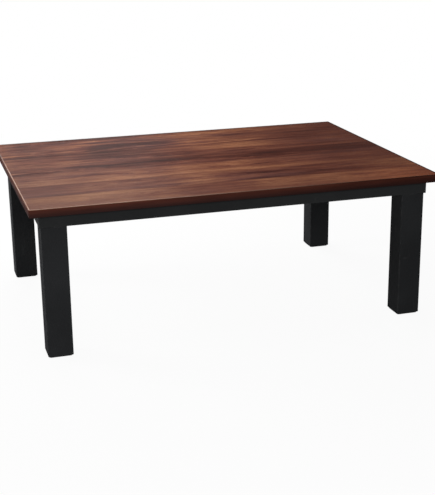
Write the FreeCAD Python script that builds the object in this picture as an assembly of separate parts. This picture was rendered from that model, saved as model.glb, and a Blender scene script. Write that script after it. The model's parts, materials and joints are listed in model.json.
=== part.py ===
import FreeCAD, Part
import math
import os

from FreeCAD import Vector

# Low heated table: a loose top board on a jointed frame with four bolt-on legs, and an electric
# heater hung in a bay between two crossbars. Millimetres, +Z up, origin on the floor under the
# middle of the board, +X along the long side, -Y towards the front.

# Whole table
table_length = 1050.0
table_depth = 750.0
table_height = 385.0

# Top board
board_thickness = 20.0
surface_sheet_thickness = 0.8
backer_sheet_thickness = 0.8
edge_band_thickness = 3.0
board_corner_radius = 2.8
board_top_arris = 2.0
board_bottom_arris = 1.0

# Apron rails under the board
board_overhang = 25.0
apron_height = 33.0
apron_thickness = 18.0
apron_edge_radius = 1.5

# Non-slip pads let into the top edges of the rails
pad_radius = 6.0
pad_recess_depth = 2.0
pad_proud = 0.5
pad_recess_clearance = 0.1
pad_end_distance = 90.0

# Legs
leg_size = 62.0
leg_inset = 4.0
leg_edge_radius = 2.5
leg_foot_chamfer = 1.2

# Floor glides
glide_thickness = 2.5
glide_inset = 3.0
glide_corner_radius = 5.0
glide_nail_radius = 2.5
glide_nail_length = 14.0

# Corner blocks
corner_block_size = 84.0
corner_block_chamfer = 40.0
corner_block_thickness = 18.0

# Hanger bolts, washers and nuts that hold the legs
bolt_radius = 4.0
bolt_depth_in_leg = 45.0
bolt_inward_shift = 6.0
bolt_spread = 12.0
bolt_end_over_nut = 2.5
bolt_hole_clearance = 0.5
washer_radius = 8.0
washer_hole_clearance = 0.4
washer_thickness = 1.6
nut_across_flats = 13.0
nut_height = 6.5

# Crossbars and battens round the heater bay
bay_size = 290.0
crossbar_width = 40.0
crossbar_thickness = 18.0
crossbar_lift = 4.0
crossbar_edge_radius = 1.5

# Dowels
dowel_radius = 4.0
dowel_length = 28.0
dowel_end_chamfer = 0.8
dowel_end_clearance = 0.5
dowel_pair_spacing = 20.0
block_dowel_distance = 62.0

# One clearance for pins, nails and threads that are held tight in their holes
held_clearance = 0.05

# Heater casing
heater_clearance = 4.0
casing_sheet = 1.0
casing_depth = 46.0
casing_flange_width = 22.0
casing_lip_width = 10.0
casing_weld_flange_width = 8.0
casing_play = 0.5
rib_radius = 2.0
rib_length = 190.0
rib_spacing = 70.0
rib_count = 3
vent_width = 3.0
vent_height = 18.0
vent_pitch = 24.0
vent_count = 8

# Screws that hang the heater from the crossbars
hanging_screw_radius = 2.0
hanging_screw_length = 16.0
hanging_screw_head_radius = 4.2
hanging_screw_head_height = 2.6
hanging_screw_from_edge = 8.0
hanging_screw_end_distance = 41.0
hanging_washer_radius = 6.5
hanging_washer_thickness = 1.0
screw_hole_clearance = 0.3

# Heat shield, reflector and bulkhead inside the casing
insulation_thickness = 4.0
reflector_sheet = 0.8
reflector_flat_width = 164.0
wiring_space = 34.0
bulkhead_hole_radius = 3.0
bulkhead_raise = 3.0

# Heater tube and element
tube_outer_radius = 5.5
tube_inner_radius = 4.6
tube_spacing = 100.0
tube_end_gap = 20.0
tube_below_reflector = 18.7
element_radius = 4.2
element_end_inset = 4.0
element_pin_radius = 1.0
element_pin_beyond_cap = 2.0

# Ceramic end caps and tube clips
cap_radius = 9.0
cap_length = 22.0
cap_back_wall = 5.0
cap_groove_depth = 1.0
cap_fit = 0.1
cap_before_bulkhead = 11.0
clip_width = 8.0
clip_sheet = 0.8
clip_foot_length = 18.0
clip_before_bend = 12.0

# Guard
guard_sheet = 1.6
guard_rim = 14.0
guard_bar = 2.2
guard_cells = 13
guard_screw_radius = 1.5
guard_screw_length = 8.0
guard_screw_head_radius = 3.4
guard_screw_head_height = 2.2
guard_screw_spacing = 180.0

# Thermostat and thermal fuse
thermostat_radius = 9.0
thermostat_height = 8.0
thermostat_from_bulkhead = 23.0
thermostat_ear_length = 34.0
thermostat_ear_width = 8.0
tab_width = 4.0
tab_thickness = 1.2
tab_height = 7.0
tab_spacing = 11.0
tab_wire_drop = 3.7
fuse_radius = 2.2
fuse_length = 18.0
fuse_from_bulkhead = 57.0
saddle_length = 8.0
saddle_wall = 0.8
saddle_ear = 5.0

# Terminal block
terminal_length = 44.0
terminal_depth = 16.0
terminal_height = 12.0
terminal_screw_radius = 2.0
terminal_screw_depth = 5.0
terminal_row_inset = 3.5
terminal_inner_spacing = 10.0
terminal_outer_spacing = 30.0

# Inlet for the supply lead
inlet_width = 24.0
inlet_height = 16.0
inlet_depth = 14.0
inlet_wall = 2.0
inlet_back_wall = 3.0
inlet_flange = 3.0
inlet_flange_thickness = 2.0
inlet_above_lip = 2.5
inlet_pin_radius = 1.5
inlet_pin_spacing = 10.0
inlet_pin_setback = 3.5
inlet_pin_tail = 2.0

# Internal leads
lead_radius = 1.2
lead_bend = 3.6
lead_side_run = 27.0
lead_right_turn = 20.0

# Overrun of every cutting tool, and what counts as a straight run or as parallel
overrun = 5.0
shortest_run = 0.01
parallel_share = 0.999

# Levels, from the floor up
leg_bottom = glide_thickness
board_bottom = table_height - board_thickness
apron_top = board_bottom - pad_proud
apron_bottom = apron_top - apron_height
block_top = apron_bottom + corner_block_thickness
washer_top = block_top + washer_thickness
nut_top = washer_top + nut_height
bolt_top = nut_top + bolt_end_over_nut
crossbar_bottom = apron_bottom + crossbar_lift
crossbar_top = crossbar_bottom + crossbar_thickness
plate_top = crossbar_top + casing_sheet
casing_bottom = plate_top - casing_depth
lip_top = casing_bottom + casing_sheet
insulation_bottom = crossbar_top - insulation_thickness
reflector_underside = insulation_bottom - reflector_sheet
tube_level = reflector_underside - tube_below_reflector
guard_bottom = casing_bottom - guard_sheet

# Half sizes of the frame and of the heater
frame_half_x = table_length / 2 - board_overhang
frame_half_y = table_depth / 2 - board_overhang
inner_half_x = frame_half_x - apron_thickness
inner_half_y = frame_half_y - apron_thickness
leg_centre_x = frame_half_x - leg_inset - leg_size / 2
leg_centre_y = frame_half_y - leg_inset - leg_size / 2
bay_half = bay_size / 2
casing_half = bay_half - heater_clearance
casing_inner_half = casing_half - casing_sheet
lip_inner_half = casing_inner_half - casing_lip_width
weld_inner_half = casing_inner_half - casing_weld_flange_width
bulkhead_front = -casing_inner_half + wiring_space - casing_sheet
bulkhead_back = bulkhead_front + casing_sheet
tube_start = bulkhead_front - cap_before_bulkhead + cap_back_wall
bend_radius = tube_spacing / 2
bend_start = casing_inner_half - tube_end_gap - bend_radius
cap_front = bulkhead_front - cap_before_bulkhead

up = Vector(0, 0, 1)
right = Vector(1, 0, 0)
back = Vector(0, 1, 0)

corners = {
    "front_left": (-1, -1),
    "front_right": (1, -1),
    "rear_left": (-1, 1),
    "rear_right": (1, 1),
}

pieces = {}


def keep(name, solids):
    pieces[name] = solids[0] if len(solids) == 1 else Part.makeCompound(solids)


def box(x_range, y_range, z_range):
    sizes = [high - low for low, high in (x_range, y_range, z_range)]
    return Part.makeBox(*sizes, Vector(x_range[0], y_range[0], z_range[0]))


def rod(radius, start, end):
    return Part.makeCylinder(radius, (end - start).Length, start, end - start)


def prism(outline, z_range):
    points = [Vector(x, y, z_range[0]) for x, y in outline]
    face = Part.Face(Part.makePolygon(points + points[:1]))
    return face.extrude(up * (z_range[1] - z_range[0]))


def edges_along(shape, direction):
    chosen = []
    for edge in shape.Edges:
        run = edge.Vertexes[-1].Point - edge.Vertexes[0].Point
        if abs(run.dot(direction)) > parallel_share * run.Length:
            chosen.append(edge)
    return chosen


def rounded_path(points, bend):
    # Straight runs joined by tangent arcs of one radius.
    edges = []
    start = points[0]
    for before, corner, after in zip(points, points[1:], points[2:]):
        towards_before = (before - corner).normalize()
        towards_after = (after - corner).normalize()
        half_turn = (math.pi - towards_before.getAngle(towards_after)) / 2
        trim = bend * math.tan(half_turn)
        arc_start = corner + towards_before * trim
        arc_end = corner + towards_after * trim
        inward = (towards_before + towards_after).normalize()
        arc_middle = corner + inward * (bend / math.cos(half_turn) - bend)
        if (arc_start - start).Length > shortest_run:
            edges.append(Part.LineSegment(start, arc_start).toShape())
        edges.append(Part.Arc(arc_start, arc_middle, arc_end).toShape())
        start = arc_end
    edges.append(Part.LineSegment(start, points[-1]).toShape())
    return Part.Wire(edges)


def round_bar(points, bend, radius):
    profile = Part.Wire(Part.makeCircle(radius, points[0], points[1] - points[0]))
    return rounded_path(points, bend).makePipeShell([profile], True, False)


# Top board

def board_blank():
    half_x = table_length / 2
    half_y = table_depth / 2
    blank = box((-half_x, half_x), (-half_y, half_y), (board_bottom, table_height))
    blank = blank.makeFillet(board_corner_radius, edges_along(blank, up))
    top_rim = [edge for edge in blank.Edges if edge.BoundBox.ZMin > table_height - board_top_arris]
    blank = blank.makeFillet(board_top_arris, top_rim)
    bottom_rim = [edge for edge in blank.Edges if edge.BoundBox.ZMax < board_bottom + board_bottom_arris]
    return blank.makeFillet(board_bottom_arris, bottom_rim)


def make_board():
    half_x = table_length / 2
    half_y = table_depth / 2
    inner_x = half_x - edge_band_thickness
    inner_y = half_y - edge_band_thickness
    surface_bottom = table_height - surface_sheet_thickness
    backer_top = board_bottom + backer_sheet_thickness
    inside_x = (-inner_x, inner_x)
    inside_y = (-inner_y, inner_y)
    keep("board_surface_sheet", [box(inside_x, inside_y, (surface_bottom, table_height))])
    keep("board_core", [box(inside_x, inside_y, (backer_top, surface_bottom))])
    keep("board_backer_sheet", [box(inside_x, inside_y, (board_bottom, backer_top))])
    blank = board_blank()
    past_x = half_x + overrun
    past_y = half_y + overrun
    z_range = (board_bottom - overrun, table_height + overrun)
    full_x = (-past_x, past_x)
    cutters = {
        "edge_band_front": box(full_x, (-past_y, -inner_y), z_range),
        "edge_band_rear": box(full_x, (inner_y, past_y), z_range),
        "edge_band_left": box((-past_x, -inner_x), inside_y, z_range),
        "edge_band_right": box((inner_x, past_x), inside_y, z_range),
    }
    for name, cutter in cutters.items():
        keep(name, blank.common(cutter).Solids)


# Frame

def bolt_places(side_x, side_y):
    # Two bolts across the diagonal of the leg, moved in so that the washers clear the rails.
    middle_x = side_x * (leg_centre_x - bolt_inward_shift)
    middle_y = side_y * (leg_centre_y - bolt_inward_shift)
    step_x = side_x * bolt_spread
    step_y = side_y * bolt_spread
    return [(middle_x + step_x, middle_y - step_y), (middle_x - step_x, middle_y + step_y)]


def dowel(middle, direction):
    start = middle - direction * (dowel_length / 2)
    pin = rod(dowel_radius, start, middle + direction * (dowel_length / 2))
    return pin.makeChamfer(dowel_end_chamfer, [pin.Edges[0], pin.Edges[2]])


def dowel_hole(middle, direction):
    reach = dowel_length / 2 + dowel_end_clearance
    return rod(dowel_radius + held_clearance, middle - direction * reach, middle + direction * reach)


def block_dowel_places():
    level = apron_bottom + corner_block_thickness / 2
    along_x = inner_half_x - block_dowel_distance
    along_y = inner_half_y - block_dowel_distance
    places = []
    for side_x, side_y in corners.values():
        places.append((Vector(side_x * inner_half_x, side_y * along_y, level), right))
        places.append((Vector(side_x * along_x, side_y * inner_half_y, level), back))
    return places


def crossbar_dowel_places():
    level = (crossbar_bottom + crossbar_top) / 2
    middle_x = bay_half + crossbar_width / 2
    places = []
    for side_x, side_y in corners.values():
        for step in (-dowel_pair_spacing / 2, dowel_pair_spacing / 2):
            places.append((Vector(side_x * middle_x + step, side_y * inner_half_y, level), back))
    return places


def batten_dowel_places():
    level = (crossbar_bottom + crossbar_top) / 2
    middle_y = bay_half + crossbar_width / 2
    places = []
    for side_x, side_y in corners.values():
        for step in (-dowel_pair_spacing / 2, dowel_pair_spacing / 2):
            places.append((Vector(side_x * bay_half, side_y * middle_y + step, level), right))
    return places


def dowel_holes():
    places = block_dowel_places() + crossbar_dowel_places() + batten_dowel_places()
    return [dowel_hole(middle, direction) for middle, direction in places]


def pad_places():
    rail_x = frame_half_x - apron_thickness / 2
    rail_y = frame_half_y - apron_thickness / 2
    end_x = frame_half_x - pad_end_distance
    end_y = frame_half_y - pad_end_distance
    places = []
    for side_y in (-1, 1):
        places += [(x, side_y * rail_y) for x in (-end_x, 0, end_x)]
    for side_x in (-1, 1):
        places += [(side_x * rail_x, y) for y in (-end_y, end_y)]
    return places


def make_aprons():
    x = frame_half_x
    y = frame_half_y
    in_x = inner_half_x
    in_y = inner_half_y
    outlines = {
        "apron_front": [(-x, -y), (x, -y), (in_x, -in_y), (-in_x, -in_y)],
        "apron_rear": [(-x, y), (x, y), (in_x, in_y), (-in_x, in_y)],
        "apron_left": [(-x, -y), (-x, y), (-in_x, in_y), (-in_x, -in_y)],
        "apron_right": [(x, -y), (x, y), (in_x, in_y), (in_x, -in_y)],
    }
    ring = box((-x, x), (-y, y), (apron_bottom, apron_top))
    rim = [edge for edge in ring.Edges if edge.BoundBox.ZMax < apron_bottom + apron_edge_radius]
    ring = ring.makeFillet(apron_edge_radius, rim + edges_along(ring, up))
    recess_bottom = apron_top - pad_recess_depth
    recess_radius = pad_radius + pad_recess_clearance
    cuts = dowel_holes()
    for place in pad_places():
        cuts.append(rod(recess_radius, Vector(*place, recess_bottom), Vector(*place, apron_top + overrun)))
    for name, outline in outlines.items():
        rail = prism(outline, (apron_bottom - overrun, apron_top + overrun)).common(ring)
        keep(name, rail.cut(cuts).Solids)


def make_pads():
    recess_bottom = apron_top - pad_recess_depth
    places = pad_places()
    keep("non_slip_pads", [
        rod(pad_radius, Vector(*place, recess_bottom), Vector(*place, board_bottom)) for place in places
    ])


def make_corner_blocks():
    size = corner_block_size
    straight = size - corner_block_chamfer
    holes = dowel_holes()
    for side_x, side_y in corners.values():
        for place in bolt_places(side_x, side_y):
            start = Vector(*place, apron_bottom - overrun)
            holes.append(rod(bolt_radius + bolt_hole_clearance, start, Vector(*place, block_top + overrun)))
    for name, (side_x, side_y) in corners.items():
        steps = [(0, 0), (size, 0), (size, straight), (straight, size), (0, size)]
        outline = [
            (side_x * (inner_half_x - step_x), side_y * (inner_half_y - step_y)) for step_x, step_y in steps
        ]
        block = prism(outline, (apron_bottom, block_top)).cut(holes)
        keep("corner_block_" + name, block.Solids)


def glide_nail(place, clearance):
    start = Vector(*place, leg_bottom)
    return rod(glide_nail_radius + clearance, start, start + up * (glide_nail_length + clearance))


def make_legs():
    half = leg_size / 2
    for name, (side_x, side_y) in corners.items():
        x = side_x * leg_centre_x
        y = side_y * leg_centre_y
        leg = box((x - half, x + half), (y - half, y + half), (leg_bottom, apron_bottom))
        leg = leg.makeFillet(leg_edge_radius, edges_along(leg, up))
        foot = [edge for edge in leg.Edges if edge.BoundBox.ZMax < leg_bottom + leg_foot_chamfer]
        leg = leg.makeChamfer(leg_foot_chamfer, foot)
        holes = [glide_nail((x, y), held_clearance)]
        for place in bolt_places(side_x, side_y):
            hole_bottom = Vector(*place, apron_bottom - bolt_depth_in_leg - held_clearance)
            holes.append(rod(bolt_radius + held_clearance, hole_bottom, Vector(*place, apron_top)))
        keep("leg_" + name, leg.cut(holes).Solids)


def make_glides():
    half = leg_size / 2 - glide_inset
    glides = []
    for side_x, side_y in corners.values():
        x = side_x * leg_centre_x
        y = side_y * leg_centre_y
        pad = box((x - half, x + half), (y - half, y + half), (0, leg_bottom))
        pad = pad.makeFillet(glide_corner_radius, edges_along(pad, up))
        glides.append(pad.fuse(glide_nail((x, y), 0)))
    keep("floor_glides", glides)


def hex_nut(place):
    corner_radius = nut_across_flats / 2 / math.cos(math.pi / 6)
    outline = []
    for step in range(6):
        angle = step * math.pi / 3
        outline.append((place[0] + corner_radius * math.cos(angle), place[1] + corner_radius * math.sin(angle)))
    hole = rod(bolt_radius + held_clearance, Vector(*place, block_top), Vector(*place, bolt_top))
    return prism(outline, (washer_top, nut_top)).cut(hole)


def make_leg_fasteners():
    bolts = []
    washers = []
    nuts = []
    for side_x, side_y in corners.values():
        for place in bolt_places(side_x, side_y):
            bolt_bottom = Vector(*place, apron_bottom - bolt_depth_in_leg)
            bolts.append(rod(bolt_radius, bolt_bottom, Vector(*place, bolt_top)))
            washer = rod(washer_radius, Vector(*place, block_top), Vector(*place, washer_top))
            hole_radius = bolt_radius + washer_hole_clearance
            hole = rod(hole_radius, Vector(*place, block_top - overrun), Vector(*place, bolt_top))
            washers.append(washer.cut(hole))
            nuts.append(hex_nut(place))
    keep("leg_hanger_bolts", bolts)
    keep("leg_washers", washers)
    keep("leg_nuts", nuts)


def hanging_screw_places():
    x = casing_half + casing_flange_width - hanging_screw_from_edge
    y = casing_half - hanging_screw_end_distance
    return [(side_x * x, side_y * y) for side_x, side_y in corners.values()]


def make_crossbars():
    holes = dowel_holes()
    for place in hanging_screw_places():
        hole_bottom = Vector(*place, crossbar_top - hanging_screw_length)
        holes.append(rod(hanging_screw_radius + held_clearance, hole_bottom, Vector(*place, plate_top)))
    outer = bay_half + crossbar_width
    z_range = (crossbar_bottom, crossbar_top)
    bars = {
        "crossbar_left": box((-outer, -bay_half), (-inner_half_y, inner_half_y), z_range),
        "crossbar_right": box((bay_half, outer), (-inner_half_y, inner_half_y), z_range),
        "batten_front": box((-bay_half, bay_half), (-outer, -bay_half), z_range),
        "batten_rear": box((-bay_half, bay_half), (bay_half, outer), z_range),
    }
    for name, bar in bars.items():
        along = back if name.startswith("crossbar") else right
        bar = bar.makeFillet(crossbar_edge_radius, edges_along(bar, along))
        keep(name, bar.cut(holes).Solids)


def make_dowels():
    keep("corner_block_dowels", [dowel(*place) for place in block_dowel_places()])
    keep("crossbar_dowels", [dowel(*place) for place in crossbar_dowel_places()])
    keep("batten_dowels", [dowel(*place) for place in batten_dowel_places()])


# Heater casing

def guard_screw_places():
    line = (casing_inner_half + lip_inner_half) / 2
    step = guard_screw_spacing / 2
    places = []
    for side in (-1, 1):
        for other in (-step, step):
            places.append((side * line, other))
            places.append((other, side * line))
    return places


def guard_screw_holes():
    radius = guard_screw_radius + screw_hole_clearance
    holes = []
    for place in guard_screw_places():
        bottom = Vector(*place, guard_bottom - overrun)
        holes.append(rod(radius, bottom, Vector(*place, lip_top + guard_screw_length)))
    return holes


def make_top_plate():
    outer_x = casing_half + casing_flange_width
    z_range = (crossbar_top, plate_top)
    plate = box((-outer_x, outer_x), (-casing_half, casing_half), z_range)
    ribs = []
    for index in range(rib_count):
        x = (index - (rib_count - 1) / 2) * rib_spacing
        start = Vector(x, bulkhead_back, plate_top)
        ribs.append(rod(rib_radius, start, start + back * rib_length))
    above = box((-outer_x, outer_x), (-casing_half, casing_half), (plate_top, table_height))
    plate = plate.fuse([rib.common(above) for rib in ribs])
    cuts = []
    for place in hanging_screw_places():
        start = Vector(*place, crossbar_top - overrun)
        cuts.append(rod(hanging_screw_radius + screw_hole_clearance, start, Vector(*place, plate_top + overrun)))
    return plate.cut(cuts)


def side_wall():
    # Upright sheet with a welded flange turned in at the top and a lip turned in at the bottom.
    inside_y = (-casing_inner_half, casing_inner_half)
    outside_y = (-casing_half, casing_half)
    wall = box((casing_inner_half, casing_half), outside_y, (casing_bottom, crossbar_top))
    lip = box((lip_inner_half, casing_inner_half), inside_y, (casing_bottom, lip_top))
    flange_z = (crossbar_top - casing_sheet, crossbar_top)
    flange = box((weld_inner_half, casing_inner_half), inside_y, flange_z)
    return wall.fuse([lip, flange])


def end_wall():
    wall_x = (-casing_inner_half, casing_inner_half)
    lip_x = (-lip_inner_half, lip_inner_half)
    flange_x = (-weld_inner_half, weld_inner_half)
    wall = box(wall_x, (casing_inner_half, casing_half), (casing_bottom, crossbar_top))
    lip = box(lip_x, (lip_inner_half, casing_inner_half), (casing_bottom, lip_top))
    flange_y = (weld_inner_half, casing_inner_half)
    flange = box(flange_x, flange_y, (crossbar_top - casing_sheet, crossbar_top))
    return wall.fuse([lip, flange])


def vent_slots(along_x):
    middle = (casing_bottom + crossbar_top) / 2
    z_range = (middle - vent_height / 2, middle + vent_height / 2)
    across = (casing_inner_half - overrun, casing_half + overrun)
    slots = []
    for index in range(vent_count):
        place = (index - (vent_count - 1) / 2) * vent_pitch
        along = (place - vent_width / 2, place + vent_width / 2)
        slots.append(box(along, across, z_range) if along_x else box(across, along, z_range))
    return slots


def inlet_cutout():
    z_range = (lip_top + inlet_above_lip, lip_top + inlet_above_lip + inlet_height)
    x_range = (-inlet_width / 2, inlet_width / 2)
    return box(x_range, (-casing_half - overrun, -casing_inner_half + overrun), z_range)


def make_casing():
    keep("heater_top_plate", make_top_plate().Solids)
    screw_holes = guard_screw_holes()
    vented_side = side_wall().cut(vent_slots(False))
    keep("heater_wall_right", vented_side.cut(screw_holes).Solids)
    keep("heater_wall_left", vented_side.mirror(Vector(0, 0, 0), right).cut(screw_holes).Solids)
    keep("heater_wall_rear", end_wall().cut(vent_slots(True) + screw_holes).Solids)
    front_wall = end_wall().mirror(Vector(0, 0, 0), back)
    keep("heater_wall_front", front_wall.cut([inlet_cutout()] + screw_holes).Solids)


def make_hanging_screws():
    screws = []
    washers = []
    washer_level = plate_top + hanging_washer_thickness
    for place in hanging_screw_places():
        tip = Vector(*place, crossbar_top - hanging_screw_length)
        seat = Vector(*place, washer_level)
        shank = rod(hanging_screw_radius, tip, seat)
        head = rod(hanging_screw_head_radius, seat, seat + up * hanging_screw_head_height)
        screws.append(shank.fuse(head))
        washer = rod(hanging_washer_radius, Vector(*place, plate_top), seat)
        hole_radius = hanging_screw_radius + screw_hole_clearance
        washers.append(washer.cut(rod(hole_radius, tip, seat + up * overrun)))
    keep("heater_hanging_screws", screws)
    keep("heater_hanging_washers", washers)


# Inside the heater

def make_insulation():
    half = weld_inner_half - casing_play
    y_range = (bulkhead_back + casing_play, half)
    keep("insulation_sheet", [box((-half, half), y_range, (insulation_bottom, crossbar_top))])


def make_reflector():
    # Bent sheet: feet on the side lips, sloped sides, a flat middle under the insulation.
    foot_x = casing_inner_half - casing_play
    bend_x = lip_inner_half - casing_play
    flat_x = reflector_flat_width / 2
    lower = [(-foot_x, lip_top), (-bend_x, lip_top), (-flat_x, reflector_underside)]
    lower += [(-x, z) for x, z in reversed(lower)]
    upper = [(x, z + reflector_sheet) for x, z in reversed(lower)]
    front_y = bulkhead_back + casing_play
    points = [Vector(x, front_y, z) for x, z in lower + upper]
    face = Part.Face(Part.makePolygon(points + points[:1]))
    sheet = face.extrude(back * (casing_inner_half - casing_play - front_y))
    keep("reflector", sheet.cut(guard_screw_holes()).Solids)


def tube_sides():
    return (-tube_spacing / 2, tube_spacing / 2)


def make_bulkhead():
    half = lip_inner_half - casing_play
    bottom = lip_top + bulkhead_raise
    plate = box((-half, half), (bulkhead_front, bulkhead_back), (bottom, crossbar_top))
    flange_y = (bulkhead_front - casing_weld_flange_width, bulkhead_front)
    flange = box((-half, half), flange_y, (crossbar_top - casing_sheet, crossbar_top))
    plate = plate.fuse(flange)
    y_range = (bulkhead_front - overrun, bulkhead_back + overrun)
    neck = cap_radius - cap_groove_depth + cap_fit
    cuts = []
    for x in tube_sides():
        centre = Vector(x, y_range[0], tube_level)
        cuts.append(rod(neck, centre, centre + back * (y_range[1] - y_range[0])))
        cuts.append(box((x - neck, x + neck), y_range, (bottom - overrun, tube_level)))
    for x, z in ((-lead_side_run, fuse_level()), (-terminal_outer_spacing / 2, tab_level())):
        start = Vector(x, y_range[0], z)
        cuts.append(rod(bulkhead_hole_radius, start, start + back * (y_range[1] - y_range[0])))
    keep("wiring_bulkhead", plate.cut(cuts).Solids)


def bent_tube_path(start_y):
    left, right_side = tube_sides()
    far_y = bend_start + bend_radius
    return [
        Vector(left, start_y, tube_level),
        Vector(left, far_y, tube_level),
        Vector(right_side, far_y, tube_level),
        Vector(right_side, start_y, tube_level),
    ]


def make_tube():
    outer = round_bar(bent_tube_path(tube_start), bend_radius, tube_outer_radius)
    bore = round_bar(bent_tube_path(tube_start - overrun), bend_radius, tube_inner_radius)
    keep("heater_tube", outer.cut(bore).Solids)
    element_start = tube_start + element_end_inset
    keep("heating_element", [round_bar(bent_tube_path(element_start), bend_radius, element_radius)])


def make_end_caps():
    caps = []
    pins = []
    for x in tube_sides():
        front = Vector(x, cap_front, tube_level)
        cap = rod(cap_radius, front, front + back * cap_length)
        groove_y = (bulkhead_front - cap_fit, bulkhead_back + cap_fit)
        groove_start = Vector(x, groove_y[0], tube_level)
        groove_end = Vector(x, groove_y[1], tube_level)
        groove = rod(cap_radius + overrun, groove_start, groove_end)
        groove = groove.cut(rod(cap_radius - cap_groove_depth, groove_start, groove_end))
        tube_seat = Vector(x, tube_start, tube_level)
        bore = rod(tube_outer_radius + cap_fit, tube_seat, front + back * (cap_length + overrun))
        pin_hole = rod(element_pin_radius + held_clearance, front - back * overrun, tube_seat + back * overrun)
        caps.append(cap.cut([groove, bore, pin_hole]))
        pin_start = front - back * element_pin_beyond_cap
        pins.append(rod(element_pin_radius, pin_start, tube_seat + back * element_end_inset))
    keep("ceramic_end_caps", caps)
    keep("element_pins", pins)


def make_tube_clips():
    clips = []
    y_range = (bend_start - clip_before_bend, bend_start - clip_before_bend + clip_width)
    ring_radius = tube_outer_radius + cap_fit + clip_sheet
    for x in tube_sides():
        front = Vector(x, y_range[0], tube_level)
        rear = Vector(x, y_range[1], tube_level)
        ring = rod(ring_radius, front, rear)
        strap_x = (x - clip_sheet, x + clip_sheet)
        strap = box(strap_x, y_range, (tube_level, reflector_underside))
        foot_x = (x - clip_foot_length / 2, x + clip_foot_length / 2)
        foot = box(foot_x, y_range, (reflector_underside - clip_sheet, reflector_underside))
        bore = rod(tube_outer_radius + cap_fit, front - back * overrun, rear + back * overrun)
        clips.append(ring.fuse([strap, foot]).cut(bore))
    keep("tube_clips", clips)


# Guard under the heater

def make_guard():
    half = casing_half
    outer = [Vector(x, y, guard_bottom) for x, y in ((-half, -half), (half, -half), (half, half), (-half, half))]
    net_half = half - guard_rim
    pitch = 2 * net_half / guard_cells
    wires = [Part.makePolygon(outer + outer[:1])]
    for column in range(guard_cells):
        for row in range(guard_cells):
            low_x = -net_half + column * pitch + guard_bar / 2
            low_y = -net_half + row * pitch + guard_bar / 2
            high_x = low_x + pitch - guard_bar
            high_y = low_y + pitch - guard_bar
            hole = [(low_x, low_y), (low_x, high_y), (high_x, high_y), (high_x, low_y)]
            points = [Vector(x, y, guard_bottom) for x, y in hole]
            wires.append(Part.makePolygon(points + points[:1]))
    net = Part.Face(wires).extrude(up * guard_sheet)
    keep("guard_grille", net.cut(guard_screw_holes()).Solids)


def make_guard_screws():
    screws = []
    for place in guard_screw_places():
        seat = Vector(*place, guard_bottom)
        shank = rod(guard_screw_radius, seat, Vector(*place, casing_bottom + guard_screw_length))
        head = rod(guard_screw_head_radius, seat - up * guard_screw_head_height, seat)
        screws.append(shank.fuse(head))
    keep("guard_screws", screws)


# Heat controls and wiring

def tab_level():
    return reflector_underside - thermostat_height - tab_wire_drop


def fuse_level():
    return reflector_underside - saddle_wall - fuse_radius


def thermostat_y():
    return bulkhead_back + thermostat_from_bulkhead


def fuse_y():
    return bulkhead_back + fuse_from_bulkhead


def make_thermostat():
    centre = Vector(0, thermostat_y(), reflector_underside)
    body = rod(thermostat_radius, centre - up * thermostat_height, centre)
    ear_x = (-thermostat_ear_length / 2, thermostat_ear_length / 2)
    ear_y = (centre.y - thermostat_ear_width / 2, centre.y + thermostat_ear_width / 2)
    ears = box(ear_x, ear_y, (reflector_underside - casing_sheet, reflector_underside))
    tab_top = reflector_underside - thermostat_height
    tab_y = (centre.y - tab_width / 2, centre.y + tab_width / 2)
    tabs = []
    for side in (-1, 1):
        middle = side * tab_spacing / 2
        tab_x = (middle - tab_thickness / 2, middle + tab_thickness / 2)
        tabs.append(box(tab_x, tab_y, (tab_top - tab_height, tab_top)))
    keep("thermostat", [body.fuse([ears] + tabs)])


def make_fuse():
    half = fuse_length / 2
    start = Vector(-half, fuse_y(), fuse_level())
    end = Vector(half, fuse_y(), fuse_level())
    keep("thermal_fuse", [rod(fuse_radius, start, end)])
    saddle_x = (-saddle_length / 2, saddle_length / 2)
    reach = fuse_radius + saddle_wall
    body_y = (fuse_y() - reach, fuse_y() + reach)
    ear_y = (fuse_y() - reach - saddle_ear, fuse_y() + reach + saddle_ear)
    body = box(saddle_x, body_y, (fuse_level() - reach, reflector_underside))
    ears = box(saddle_x, ear_y, (reflector_underside - saddle_wall, reflector_underside))
    bore = rod(fuse_radius + held_clearance, start, end)
    keep("fuse_saddle", [body.fuse(ears).cut(bore)])


def terminal_rows():
    front = -weld_inner_half + casing_play
    back_edge = front + terminal_depth
    return front, back_edge, front + terminal_row_inset, back_edge - terminal_row_inset


def terminal_bottom():
    return crossbar_top - terminal_height


def make_terminal_block():
    front, back_edge, front_row, back_row = terminal_rows()
    half = terminal_length / 2
    block = box((-half, half), (front, back_edge), (terminal_bottom(), crossbar_top))
    wells = []
    for x in (-terminal_outer_spacing / 2, -terminal_inner_spacing / 2,
              terminal_inner_spacing / 2, terminal_outer_spacing / 2):
        middle = Vector(x, (front_row + back_row) / 2, terminal_bottom() - overrun)
        wells.append(rod(terminal_screw_radius, middle, middle + up * (terminal_screw_depth + overrun)))
    keep("terminal_block", [block.cut(wells)])


def inlet_level():
    return lip_top + inlet_above_lip + inlet_height / 2


def inlet_back():
    return -casing_half + inlet_depth


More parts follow.
